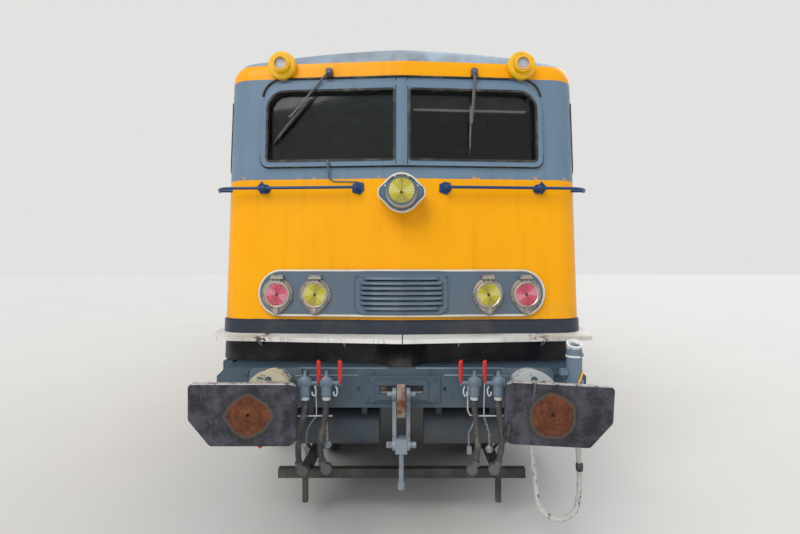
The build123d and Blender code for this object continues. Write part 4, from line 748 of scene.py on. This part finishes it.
# The light panel's rim and louvre: half width, lowest and highest
PANEL_RIM = (1.073, 1.562, 1.896)
LOUVRE_RIM = (0.354, 1.57, 1.882)
rims = Shape()
half, low, high = PANEL_RIM
outline = between(rounded_box(-half, half, low, high, (high - low) / 2, 14), 0.06)
rims.loop([on_skin(x, z, 0, CAB_SKIN) for x, z in outline], 0.009)
rims.ends().make("panel_rims", "rim_cream")

louvres, rib_shadows = Shape(), Shape()
half, low, high = LOUVRE_RIM
louvres.loop([on_skin(x, z, 0.001) for x, z in between(rounded_box(-half, half, low, high, 0.07, 8), 0.06)], 0.004)
for row in range(7):
    z = 1.62 + 0.037 * row
    rib, slot = (0.282, 0.276) if row in (0, 6) else (0.312, 0.306)
    ridge(louvres, -rib, rib, 26,
          [(z - 0.014, 0), (z - 0.013, 0.02), (z - 0.004, 0.026), (z + 0.006, 0.022), (z + 0.013, 0.002)])
    # Thin black strips just under each rib: painted shadow.
    ridge(rib_shadows, -slot, slot, 26,
          [(z - 0.0225, 0.001), (z - 0.02, 0.004), (z - 0.015, 0.004), (z - 0.014, 0.001)])
louvres.bolts([on_skin(x, z) for x in (-0.325, 0.325) for z in (1.592, 1.86)], SLOPE, 0.008)
louvres.ends().make("louvre_ribs", "trim")
rib_shadows.ends().make("louvre_shadows", "black")

# Marker lamps: lens rings, screws, hinges and catches
RING = ((0.082, 0), (0.083, 0.011), (0.089, 0.014), (0.096, 0.01), (0.101, 0.002), (0.101, -0.004))
rings, bezels = Shape(), Shape()
for x in (-0.93, -0.644, 0.644, 0.93):
    way = from_ahead(CAB_SKIN, x, MARKER_Z)[1]
    centre = at(x, from_ahead(LAMP_SKIN, x, MARKER_Z + 0.093)[0].y, MARKER_Z) - way * 0.006
    rings.lathe(centre, way, RING, 40)
    side = way.cross(Vector(UP)).normalized()
    up = side.cross(way)
    for cos, sin in turned(10, 18):
        place = centre - way * 0.01 + (side * cos + up * sin) * 0.109
        bezels.lathe(place, way, [(0.006, -0.004), (0.006, 0.004), (0, 0.006)], 6)
    hinge = centre + at(0, -0.006, 0.122)
    bezels.tube([hinge + at(-0.046), hinge + at(0.046)], 0.01, 10)
    for leaf in (-0.018, 0.018):
        bezels.tube([hinge + at(leaf, 0.004, -0.01), hinge + at(leaf, 0.004, -0.034)], 0.006, 6)
    catch = centre + at(0, -0.004, -0.128)
    corner = at(0.012, 0.01, 0.016)
    bezels.box(catch - corner, catch + corner, 0.004)
    bezels.lathe(catch + at(0, -0.008), AHEAD, [(0.008, 0), (0.008, 0.006), (0.004, 0.009), (0, 0.009)], 8)
rings.ends().make("lens_rings", "bright")
bezels.ends().make("bezel_fittings", "lamp_ring")

# The centre headlight: lens ring, studs, eye-shaped edge and its seal
way = from_ahead(CAB_SKIN, 0, HEADLIGHT_Z)[1]
face_y = from_ahead(LAMP_SKIN, 0, HEADLIGHT_Z + 0.101)[0].y
centre = at(0, face_y, HEADLIGHT_Z)
ring = Shape()
ring.lathe(centre, way, [(0.088, -0.004), (0.089, 0.012), (0.097, 0.016), (0.111, 0.01), (0.117, -0.006)], 40)
ring.ends().make("headlight_ring", "lamp_ring")
studs = Shape()
for cos, sin in turned(8, 22.5):
    place = centre + at(0.127 * cos, 0.008 - 0.127 * sin * 0.08, 0.127 * sin)
    studs.lathe(place, way, [(0.007, -0.006), (0.007, 0.004), (0, 0.007)], 6)
studs.ends().make("headlight_studs", "bright")
eye = arc((0, 0), 0.136, 36, 144, 16) + [(-0.166, 0.024), (-0.166, -0.024)]
eye += arc((0, 0), 0.136, 216, 324, 16) + [(0.166, -0.024), (0.166, 0.024)]
edge = [at(u, face_y + 0.013 - v * 0.08, HEADLIGHT_Z + v) for u, v in eye]
gap = Shape()
gap.loop([at(p.x * 0.935, p.y - 0.001, HEADLIGHT_Z + (p.z - HEADLIGHT_Z) * 0.925) for p in edge], 0.004)
gap.ends().make("headlight_seal", "black")
lead = Shape()
lead.loop(edge, 0.0075)
lead.bolts([at(x, face_y + 0.014, HEADLIGHT_Z) for x in (-0.146, 0.146)], AHEAD, 0.006)
lead.ends().make("headlight_trim", "rim_cream")


# Windscreens: seals, dark lines along the frame, wipers, washer pipe and blinds
def reveal(shape, outline, width, front, back):
    """A rubber channel lining an opening, from its front edge back to the glass."""
    rings = []
    count = len(outline)
    for i, (x, z) in enumerate(outline):
        x0, z0 = outline[i - 1]
        x1, z1 = outline[(i + 1) % count]
        length = math.hypot(x1 - x0, z1 - z0)
        away = at((z1 - z0) / length, 0, -(x1 - x0) / length)
        edge = on_skin(x + away.x * 0.014, z + away.z * 0.014, 0, FRAME_SKIN) - away * 0.014
        rings.append([shape.mesh.verts.new(edge + away * across + at(0, -out))
                      for across, out in ((0.006, front), (-width, front), (-width, -back), (0.006, -back))])
    for i, first in enumerate(rings):
        second = rings[(i + 1) % count]
        for k in range(4):
            shape.mesh.faces.new([first[k], first[(k + 1) % 4], second[(k + 1) % 4], second[k]])


# inner and outer edge, lowest and highest of a screen
SCREEN = (0.057, 1.045, 2.733, 3.287)
seals = Shape()
inner, outer, low, high = SCREEN
pane = [(inner + 0.012, low), (outer - 0.03, low), (outer - 0.008, low + 0.008), (outer, low + 0.03)]
pane += arc((outer - 0.14, high - 0.14), 0.14, 0, 90, 9)
pane += [(inner + 0.012, high), (inner, high - 0.012), (inner, low + 0.012)]
pane = between(pane, 0.08)
for outline in (pane, [(-x, z) for x, z in reversed(pane)]):
    reveal(seals, outline, 0.01, 0.004, 0.034)
for x in (-0.045, 0.045):
    seals.tube([on_skin(x, z, 0.001, FRAME_SKIN) for z in (2.7, 2.85, 3, 3.15, 3.3, 3.385)], 0.003, 6)
seals.ends().make("screen_seals", "black")

# half width and top of the screens' frame
FRAME_EDGE = (1.084, 3.388)
# Dark lines along the top and round the lower edge of the screens' frame.
frame_dark_lines = Shape()
half, high = FRAME_EDGE
for side in (-1, 1):
    outline = [(half, 3.255), (half - 0.004, 3.275)] + arc((half - 0.15, high - 0.15), 0.15, 16, 88, 8)
    outline += [(x, high) for x in (0.8, 0.6, 0.4, 0.2, 0.05, 0)]
    frame_dark_lines.tube([on_skin(side * x, z, 0.004) for x, z in outline], 0.009)
low_half = half + 0.007
outline = [(-low_half, 2.79)] + arc((-low_half + 0.062, 2.75), 0.062, 182, 265, 7)
outline += [(-0.8 + 0.2 * i, 2.688) for i in range(9)]
outline += arc((low_half - 0.062, 2.75), 0.062, 275, 358, 7) + [(low_half, 2.79)]
frame_dark_lines.tube([on_skin(x, z, 0.002, CAB_SKIN) for x, z in outline], 0.007, 6)
frame_dark_lines.ends().make("screen_dark_lines", "black")

# pivot, joint, and the top and foot of the blade
WIPERS = (((-0.561, 3.424), (-0.858, 3.078), (-0.705, 3.226), (-0.992, 2.88)),
          ((0.562, 3.424), (0.527, 3.02), (0.531, 3.166), (0.519, 2.78)))
arms, blades = Shape(), Shape()
for pivot, joint, top, foot in WIPERS:
    root = on_skin(*pivot)
    knee = on_skin(*joint, 0.05, FRAME_SKIN)
    arms.box(root + at(-0.026, -0.045, -0.034), root + at(0.026, 0.01, 0.034), 0.008)
    arms.lathe(root + at(0, -0.04), AHEAD, [(0.02, 0), (0.02, 0.02), (0.012, 0.026), (0, 0.026)], 12)
    bend = [root.lerp(knee, share) + at(0, out) for share, out in ((0.3, -0.034), (0.7, -0.014))]
    arms.tube([root + at(0, -0.05), *bend, knee], 0.009, 8, 0.005)
    arms.tube([root + at(0.014, -0.046, 0.01), knee + at(0.01, -0.004)], 0.0035, 6)
    arms.lathe(knee, AHEAD, [(0.01, -0.006), (0.01, 0.008), (0, 0.01)], 8)
    high, low = on_skin(*top, 0.034, FRAME_SKIN), on_skin(*foot, 0.034, FRAME_SKIN)
    arms.tube([high.lerp(low, 0.12), high.lerp(low, 0.5) + at(0, -0.012), high.lerp(low, 0.88)], 0.005, 6)
    high, low = on_skin(*top, 0.016, FRAME_SKIN), on_skin(*foot, 0.016, FRAME_SKIN)
    blades.tube([high, high.lerp(low, 0.5), low], 0.01, 6, 0.008)
arms = arms.ends().make("wiper_arms", "wiper")
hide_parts("wipers")
blades.ends().make("wiper_blades", "black")

pipes = Shape()
pipes.tube([on_skin(-0.557, 2.73, 0.02), on_skin(-0.557, 2.7, 0.016), on_skin(-0.556, 2.6, 0.01)], 0.007)
pipes.tube([on_skin(-0.556, 2.6, 0.008), on_skin(-0.52, 2.575, 0.006), on_skin(-0.34, 2.569, 0.004)], 0.005)
pipes.bolts([on_skin(-0.557, 2.712, 0.016)], SLOPE, 0.011)
pipes.ends().make("washer_pipe", "trim")

for name, look, x0, x1, low, high, back, front in (
        ("sun_blinds", "blind", 0.08, 1.01, 3.152, 3.262, -0.046, -0.04),
        ("blind_edges", "rim_cream", 0.094, 0.985, 3.14, 3.156, -0.042, -0.034)):
    blind = Shape()
    ridge(blind, x0, x1, 12, [(low, back), (low, front), (high, front), (high, back)], FRAME_SKIN, False)
    blind.ends().make(name, look)

# Flanges of the handrails, middle and end: places, height, outline, thickness and bolts
FLANGES = (
    ((-1.079, 1.079), 2.53, ((0.042, 0), (0, 0.052), (-0.042, 0), (0, -0.052)), 0.008, ((0, -0.028), (0, 0.028))),
    ((-0.33, 0.33), 2.52,
     ((0.048, -0.012), (0.04, 0.04), (-0.004, 0.05), (-0.044, 0.03), (-0.046, -0.03), (0.012, -0.05)), 0.01,
     ((-0.033, 0.02), (0.033, 0.024), (0.004, -0.038))),
)
brackets = Shape()
for places, z, outline, thickness, bolts in FLANGES:
    for x in places:
        place = on_skin(x, z)
        across = at(1, 0.075 if x > 0 else -0.075).normalized()
        brackets.plate(outline, place, across, (0, 0.08, 1), thickness, 0.002)
        brackets.bolts([place + at(dx, -thickness, dz) for dx, dz in bolts], AHEAD, 0.006)
        if abs(x) > 1:
            brackets.tube([place, place + at(0, -0.07)], 0.013, 10)
brackets.ends().make("rail_brackets", "rail_blue")

ROOF_RING = ((0.044, -0.006), (0.045, 0.005), (0.05, 0.007), (0.056, 0.004), (0.056, -0.004))
roof_rings = Shape()
for x in (-0.93, 0.93):
    face_y = from_ahead(LAMP_SKIN, x + 0.056, ROOF_LAMP_Z)[0].y
    roof_rings.lathe((x, face_y, ROOF_LAMP_Z), AHEAD, ROOF_RING, 32)
    for cos, sin in turned(4, 45):
        place = (x + 0.086 * cos, face_y + 0.04, ROOF_LAMP_Z + 0.086 * sin)
        roof_rings.lathe(place, AHEAD, [(0.007, -0.004), (0.007, 0.006), (0, 0.008)], 6)
roof_rings.ends().make("roof_lamp_rings", "lamp_yellow")

# Headstock: coupling plate, bolts, pale beads along the edges as painted highlight, and the slot and holes filled
# black as painted shade
CASING_BOLTS = ((-0.205, 0.115), (-0.205, 0.02), (-0.205, -0.075), (0.205, 0.115), (0.205, -0.02), (0, 0.118))
steps = Shape()
plate_y = on_stock(-0.22, 1.07).y
for x0, x1, z0, z1 in ((-0.187, 0.187, 0.999, 1.046), (-0.187, 0.187, 1.1, 1.142),
                       (-0.187, -0.152, 1.046, 1.1), (0.152, 0.187, 1.046, 1.1)):
    steps.box((x0, plate_y - 0.014, z0), (x1, plate_y + 0.004, z1), 0.003)
steps.bolts([at(x, plate_y - 0.001, z) for x in (-0.235, 0.235) for z in (1.005, 1.14)], AHEAD, 0.011)
steps.bolts([on_stock(x, z) for x in (-0.198, 0.199) for z in (1.192, 0.966)], AHEAD, 0.01)
steps.bolts([on_stock(x, 1.015) for x in (-0.46, -0.36, 0.36, 0.46)], AHEAD, 0.008)
for x in (-BUFFER_X, BUFFER_X):
    steps.bolts([on_stock(x + dx, 1.067 + dz) for dx, dz in CASING_BOLTS], AHEAD, 0.017)
steps.ends().make("coupling_steps", "underframe")

# Pale beads along the tops of the headstock's ledges: painted highlight.
highlight_beads = Shape()
for z, x0, x1 in ((1.217, -0.86, -0.1), (1.217, 0.1, 0.86), (1.168, -0.86, -0.3), (1.168, 0.3, 0.86)):
    line = [on_stock(x0 + (x1 - x0) * i / 14, z) for i in range(15)]
    flat = [point for point in line if abs(point.y - plate_y) < 0.03]
    if len(flat) > 2:
        highlight_beads.tube(flat, 0.0035, 6, 0.002)
highlight_beads.ends().make("headstock_painted_highlights", "ledge_highlight")

# Black fill in the coupling slot and in two holes: painted shade for their insides.
dark = Shape()
dark.box((-0.152, plate_y - 0.0015, 1.046), (0.152, plate_y + 0.004, 1.1), 0.0005)
for x in (-0.303, 0.304):
    dark.lathe(on_stock(x, 1.072), AHEAD, [(0.014, -0.002), (0.014, 0.0015), (0, 0.0015)], 16)
dark.ends().make("headstock_hole_shade", "black")
lip = Shape()
lip.box((-0.15, plate_y - 0.01, 1.047), (0.15, plate_y + 0.001, 1.06), 0.003)
lip.ends().make("slot_lip", "hook")

# Cocks: sideways, forward and height of the points of a handle and its loop
HANDLE = ((-0.012, -0.012, 1.14), (0, -0.022, 1.165), (0, -0.028, 1.2), (0, -0.03, 1.285))
LOOP = ((0, -0.02, 1.118), (0.01, -0.022, 1.098), (0.01, -0.022, 1.072), (0, -0.022, 1.052),
        (-0.012, -0.022, 1.06), (-0.016, -0.02, 1.082))
BOSS = ((0.03, -0.01), (0.04, 0.012), (0.04, 0.03), (0.026, 0.04), (0.014, 0.046), (0, 0.048))
SPINDLE = ((0.018, -0.01), (0.018, 0.022), (0.011, 0.03), (0.009, 0.052), (0, 0.056))
NUT = ((0.03, -0.006), (0.037, 0.004), (0.037, 0.02), (0.028, 0.032), (0.022, 0.052))
COLLAR = ((0.0215, -0.012), (0.0265, -0.012), (0.0285, 0), (0.0265, 0.014), (0.0215, 0.016))
handles, loops, collars, stems = Shape(), Shape(), Shape(), Shape()
for x, side in COCKS:
    reach = x + side * 0.098
    handles.tube([(reach + side * dx, COCK_Y + dy, z) for dx, dy, z in HANDLE], 0.009, 10, 0.0125)
    handles.lathe((reach, COCK_Y - 0.03, 1.285), UP, [(0.0125, -0.001), (0.01, 0.006), (0, 0.008)], 10)
    stems.tube([(x, COCK_Y - 0.005, 1.138), (reach - side * 0.012, COCK_Y - 0.012, 1.14)], 0.017, 12, 0.011)
    stems.lathe((x, COCK_Y, 1.15), AHEAD, BOSS, 8)
    stems.lathe((x, COCK_Y - 0.01, 1.17), UP, SPINDLE, 8)
    stems.lathe((x, COCK_Y, 1.05), UP, NUT, 6)
    root = x + side * 0.066
    loops.tube([(root + side * dx, COCK_Y + dy, z) for dx, dy, z in LOOP], 0.0055, 6)
    collars.lathe((x, COCK_Y, 1.034), UP, COLLAR, 20)
handles.ends().make("cock_handles", "red")
loops.ends().make("cock_loops", "white")
stems.ends().make("cock_stems", "cock")
collars.make("hose_collars", "white")

# Rods, pipes and chains among the hoses
LEFT_BAR = [(-0.745, BAR_Y, BAR_Z), (-0.473, BAR_Y, BAR_Z)]
RIGHT_BAR = [(0.455, COCK_Y - 0.006, 1.136), (0.455, BAR_Y, 1.02), (0.455, BAR_Y, 0.945), (0.47, BAR_Y, 0.912),
             (0.5, BAR_Y, BAR_Z), (0.745, BAR_Y, BAR_Z)]
rods = Shape()
for bar, x in ((LEFT_BAR, -0.582), (RIGHT_BAR, 0.566)):
    rods.tube(bar, 0.0055, 6)
    rods.tube([(x, COCK_Y - 0.006, 1.136), (x, COCK_Y, 1.06), (x, BAR_Y, 0.98), (x, BAR_Y, BAR_Z)], 0.004, 6)
rods.make("hose_bars", "white")
LEFT_PIPE = ((-0.582, BAR_Z), (-0.616, 0.862), (-0.645, 0.81), (-0.65, 0.76), (-0.65, 0.69))
RIGHT_PIPE = ((0.5, BAR_Z), (0.492, 0.85), (0.462, 0.79), (0.462, 0.7))
PIPE_HEAD = ((0.006, -0.01), (0.016, 0), (0.016, 0.018), (0.009, 0.026), (0.009, 0.05), (0, 0.055))
small = Shape()
small.tube([(x, BAR_Y, z) for x, z in LEFT_PIPE], 0.0045, 6)
small.lathe((-0.65, BAR_Y, 0.69), DOWN, PIPE_HEAD, 10)
small.tube([(x, BAR_Y, z) for x, z in RIGHT_PIPE], 0.0055, 6)
small.box((0.449, BAR_Y - 0.016, 0.645), (0.482, BAR_Y + 0.016, 0.7), 0.004)
small.make("small_pipes", "link")
CHAINS = ((-0.514, BAR_Z, -0.507, 0.72), (0.566, BAR_Z, 0.6, 0.8), (0.6, 0.8, 0.605, 0.69))
chains = Shape()
for x0, z0, x1, z1 in CHAINS:
    count = int(math.hypot(x1 - x0, z1 - z0) / 0.016)
    for i in range(count + 1):
        x = x0 + (x1 - x0) * i / count
        z = z0 + (z1 - z0) * i / count
        wide, deep = (0.006, 0) if i % 2 else (0, 0.006)
        chains.loop([(x + wide * cos, BAR_Y + deep * cos, z + 0.011 * sin) for cos, sin in turned(8)], 0.002, 5)
chains.make("head_chains", "bright")
CAP = ((0, -0.03), (0.02, -0.028), (0.026, -0.014), (0.026, 0.01), (0.018, 0.02), (0.012, 0.022),
       (0.012, 0.034), (0, 0.034))
caps = Shape()
for x, z in ((-0.507, 0.705), (0.605, 0.672)):
    caps.lathe((x, BAR_Y + 0.02, z), AHEAD, CAP, 16)
caps.make("dummy_caps", "link")
BALL = ((0, -0.016), (0.009, -0.013), (0.015, -0.005), (0.015, 0.005), (0.009, 0.013), (0.004, 0.017), (0.004, 0.03))
ball = Shape()
ball.lathe((-0.815, FRONT + 0.03, 0.897), UP, BALL, 14)
ball.make("buffer_marker", "red")

# The jumper post's cap, ring, bolt and chain box, and the cable's sleeve
POST = at(1.158, FRONT + 0.48)
CUP = ((0.048, -0.02), (0.052, 0), (0.052, 0.014), (0.04, 0.016), (0.034, 0.004), (0.02, -0.006), (0, -0.008))
cap = Shape()
cap.lathe(POST + at(0, 0, 1.404), (0, -0.45, 1), CUP, 28)
cap.lathe(POST + at(0, 0, 1.333), UP, [(0.05, -0.008), (0.056, -0.006), (0.056, 0.006), (0.05, 0.008)], 28)
cap.make("post_cap", "wing_white")
fit = Shape()
fit.box(POST + at(-0.1, -0.03, 1.205), POST + at(-0.045, 0.01, 1.25), 0.006)
fit.bolts([POST + at(0.03, -0.044, 1.348)], AHEAD, 0.013)
fit.lathe(POST + at(0, 0, 1.16), UP, [(0.05, -0.012), (0.06, -0.01), (0.06, 0.01), (0.05, 0.012)])
fit.make("post_fittings", "cock")
mark = Shape()
mark.tube([POST + at(0.046, -0.036, 1.236), POST + at(0.03, -0.05, 1.2), POST + at(0.004, -0.056, 1.15)], 0.006, 6)
mark.make("post_mark", "lamp_yellow")
SLEEVE = ((0.018, -0.03), (0.023, -0.024), (0.025, 0), (0.023, 0.024), (0.018, 0.03))
knot = Shape()
knot.lathe((1.194, FRONT + 0.482, 0.59), UP, SLEEVE, 16)
knot.make("cable_sleeve", "hose")

# The sides: window seals, grille frames and filters, gutters and panel joints
BAY_PITCH = 1.29
BAYS = [(index - 4) * BAY_PITCH for index in range(9)]
BAY_LOW, BAY_HIGH = 2.64, 3.2


def side_loop(shape, y0, y1, z0, z1, bead, out=0):
    outline = between(rounded_box(y0 - bead, y1 + bead, z0 - bead, z1 + bead, 0.066), 0.25)
    shape.loop([side_at(y, z, out) for y, z in outline], bead)


cab_seals = Shape()
side_loop(cab_seals, FRONT + 1.18, FRONT + 1.8, 2.68, 3.24, 0.01)
cab_seals.sides().ends().make("cab_window_seals", "black")
bay_seals = Shape()
for bay in BAYS[1::2]:
    side_loop(bay_seals, bay - 0.4, bay + 0.4, BAY_LOW, BAY_HIGH, 0.01)
bay_seals.sides().make("bay_window_seals", "black")
grilles, filters = Shape(), Shape()
for bay in BAYS[::2]:
    side_loop(grilles, bay - 0.53, bay + 0.53, BAY_LOW, BAY_HIGH, 0.014, 0.002)
    places = [side_at(bay + y, z) for y in (-0.54, -0.27, 0, 0.27, 0.54) for z in (2.612, 3.228)]
    grilles.bolts(places, RIGHT, 0.007)
    filters.plate(rounded_box(-0.555, 0.555, 2.615, 3.225, 0.08), (1.401, bay, 0), BACK, UP, 0.0145)
    for i in range(-5, 6):
        filters.tube([(1.414, bay + 0.09 * i, z) for z in (2.65, 3.19)], 0.006, 6)
grilles.sides().make("grille_frames", "trim")
filters.sides().make("grille_filters", "black")
gutter = Shape()
line = [FRONT + 1.95 + 0.5 * i for i in range(31)] + [-FRONT - 1.95]
gutter.tube([side_at(y, 3.5, 0.004) for y in line], 0.012, 6)
for y in (-6.45, -5.805, -3.225, -0.645, 1.935, 4.515, 6.45):
    gutter.tube([side_at(y + 0.02, z, 0.001) for z in (1.55, 2, 2.5)], 0.0025, 4)
gutter.sides().make("side_gutters", "trim")

# The doors: locks and handles, seals and panel joints, panes
for name in ("door_front_left", "door_front_right", "door_rear_left", "door_rear_right"):
    low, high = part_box(name)
    side = 1 if low[0] > 0 else -1
    end = 1 if low[1] > 0 else -1
    face = high[0] if side > 0 else low[0]
    grip = end * (max(abs(low[1]), abs(high[1])) - 0.085)
    out = face + side * 0.048
    lock = Shape()
    outline = rounded_box(-0.028, 0.028, -0.075, 0.075, 0.02, 5)
    lock.plate(outline, (face, grip, 2.15), (0, side, 0), UP, 0.006, 0.001)
    lock.tube([(face, grip, 2.18), (face + side * 0.04, grip, 2.18), (out, grip - end * 0.012, 2.18),
               (out, grip - end * 0.115, 2.172)], 0.009)
    lock.lathe((face, grip, 2.11), (side, 0, 0), [(0.012, 0), (0.012, 0.01), (0.006, 0.011), (0, 0.008)], 12)
    lock.make(name + "_handle", "bright", name)
    seal = Shape()
    outline = rounded_box(low[1] + 0.11, high[1] - 0.11, 2.56, high[2] - 0.11, 0.062)
    seal.loop([(face, y, z) for y, z in outline], 0.009)
    for z in (1.56, 1.95, 2.35):
        seal.tube([(face, low[1] + 0.03, z), (face, high[1] - 0.03, z)], 0.0025, 4)
    seal.make(name + "_seal", "black", name)
    pane = Shape()
    half = (high[1] - low[1]) / 2 - 0.107
    middle = (face - side * 0.028, (low[1] + high[1]) / 2, 0)
    pane.plate(rounded_box(-half, half, 2.557, high[2] - 0.107, 0.064), middle, (0, side, 0), UP, 0.005)
    pane.make(name + "_pane", "window", name)

# Bogies: coil springs, axle box covers, brake and sand pipes
AXLES = (-2.4225, 0, 2.4225)
AXLE_Z = 0.653
COVER = ((0.118, -0.004), (0.118, 0.01), (0.1, 0.016), (0.06, 0.018), (0.056, 0.03), (0, 0.032))
COIL_STEPS = 72
for name, centre in (("bogie_front", -4.6475), ("bogie_rear", 4.6475)):
    coils, covers, sand = Shape(), Shape(), Shape()
    for axle in AXLES:
        for offset in (-0.255, 0.255):
            points = []
            for i in range(COIL_STEPS + 1):
                angle = 2 * math.pi * i / 12
                points.append((1.1245 + 0.072 * math.cos(angle), centre + axle + offset + 0.072 * math.sin(angle),
                               0.535 + 0.25 * i / COIL_STEPS))
            coils.tube(points, 0.012, 5)
        covers.lathe((1.185, centre + axle, AXLE_Z), RIGHT, COVER)
        places = [(1.193, centre + axle + 0.102 * cos, AXLE_Z + 0.102 * sin) for cos, sin in turned(8, 22.5)]
        covers.bolts(places, RIGHT, 0.009)
        for side in (-1, 1):
            y = centre + axle + side * 0.72
            sand.tube([(0.985, y, 0.9), (0.985, y, 0.6), (0.96, y - side * 0.06, 0.38),
                       (0.82, y - side * 0.12, 0.18)], 0.014, 6)
    covers.bolts([(1.06, centre + y, 0.985) for y in (-3, -2.45, -1.9, 1.9, 2.45, 3)], RIGHT, 0.014)
    coils.sides().make(name + "_springs", "spring", name)
    covers.sides().make(name + "_covers", "gear", name)
    sand.sides().make(name + "_pipes", "bogie", name)

# Roof: carbon strips, vents and walking boards
for name, y in (("collector_head_front", -5.4), ("collector_head_rear", 5.4)):
    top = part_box(name)[1][2]
    strips = Shape()
    for place in (y - 0.125, y + 0.125):
        strips.box((-0.52, place - 0.02, top - 0.016), (0.52, place + 0.02, top + 0.002), 0.004)
    strips.make(name + "_carbons", "black", name)
vents = Shape()
for y in (-1.35, 0, 1.35):
    for side in (-1, 1):
        x = side * 0.62
        z = roof_at(x, y)
        vents.box((x - 0.26, y - 0.34, z - 0.02), (x + 0.26, y + 0.34, z + 0.13), 0.03)
        for i in range(6):
            vents.box((x + side * 0.255, y - 0.3, z + 0.02 + i * 0.016),
                      (x + side * 0.275, y + 0.3, z + 0.027 + i * 0.016), 0.002)
vents.make("roof_vents", "roof")
boards = Shape()
for x in (-0.95, 0.95):
    for y in (-3, -2.6, 2.6, 3):
        z = roof_at(x, y)
        boards.box((x - 0.17, y - 0.19, z + 0.03), (x + 0.17, y + 0.19, z + 0.048), 0.004)
        for foot in (x - 0.15, x + 0.15):
            boards.tube([(foot, y, z - 0.012), (foot, y, z + 0.032)], 0.012, 6)
boards.make("roof_boards", "roof")

# The floor, the backdrop and the light
floor_mesh = bmesh.new()
bmesh.ops.create_grid(floor_mesh, x_segments=1, y_segments=1, size=60)
floor_data = bpy.data.meshes.new("floor")
floor_mesh.to_mesh(floor_data)
floor_mesh.free()
floor = bpy.data.objects.new("floor", floor_data)
floor.location = (0, 0, -0.001)
scene.collection.objects.link(floor)
ground = Paint("floor_paint")
floor_data.materials.append(ground.done(ground.noise(0.5).mix(rgb(206, 204, 200), rgb(198, 196, 192)), 0.7))

world = bpy.data.worlds.new("studio")
scene.world = world
world.use_nodes = True
tree = world.node_tree
sky = tree.nodes["Background"]
backdrop = tree.nodes.new("ShaderNodeBackground")
for light, color, strength in ((sky, (0.9, 0.94, 1, 1), 0.78), (backdrop, rgb(226, 226, 224), 1)):
    light.inputs["Color"].default_value = color
    light.inputs["Strength"].default_value = strength
path = tree.nodes.new("ShaderNodeLightPath")
seen = path.outputs["Is Camera Ray"]
for kind in ("Is Glossy Ray", "Is Transmission Ray"):
    either = tree.nodes.new("ShaderNodeMath")
    either.operation = "MAXIMUM"
    tree.links.new(seen, either.inputs[0])
    tree.links.new(path.outputs[kind], either.inputs[1])
    seen = either.outputs[0]
choice = tree.nodes.new("ShaderNodeMixShader")
for slot, socket in enumerate((seen, sky.outputs[0], backdrop.outputs[0])):
    tree.links.new(socket, choice.inputs[slot])
tree.links.new(choice.outputs[0], tree.nodes["World Output"].inputs[0])


def sun(name, direction, power, width, color):
    data = bpy.data.lights.new(name, "SUN")
    data.energy = power
    data.angle = math.radians(width)
    data.color = color
    lamp = bpy.data.objects.new(name, data)
    lamp.rotation_euler = Vector(direction).to_track_quat("-Z", "Y").to_euler()
    scene.collection.objects.link(lamp)


sun("key_sun", (0.35, 0.62, -0.7), 1.7, 40, (1, 0.98, 0.95))
sun("fill_sun", (-0.4, -0.6, -0.7), 1, 50, (0.95, 0.98, 1))
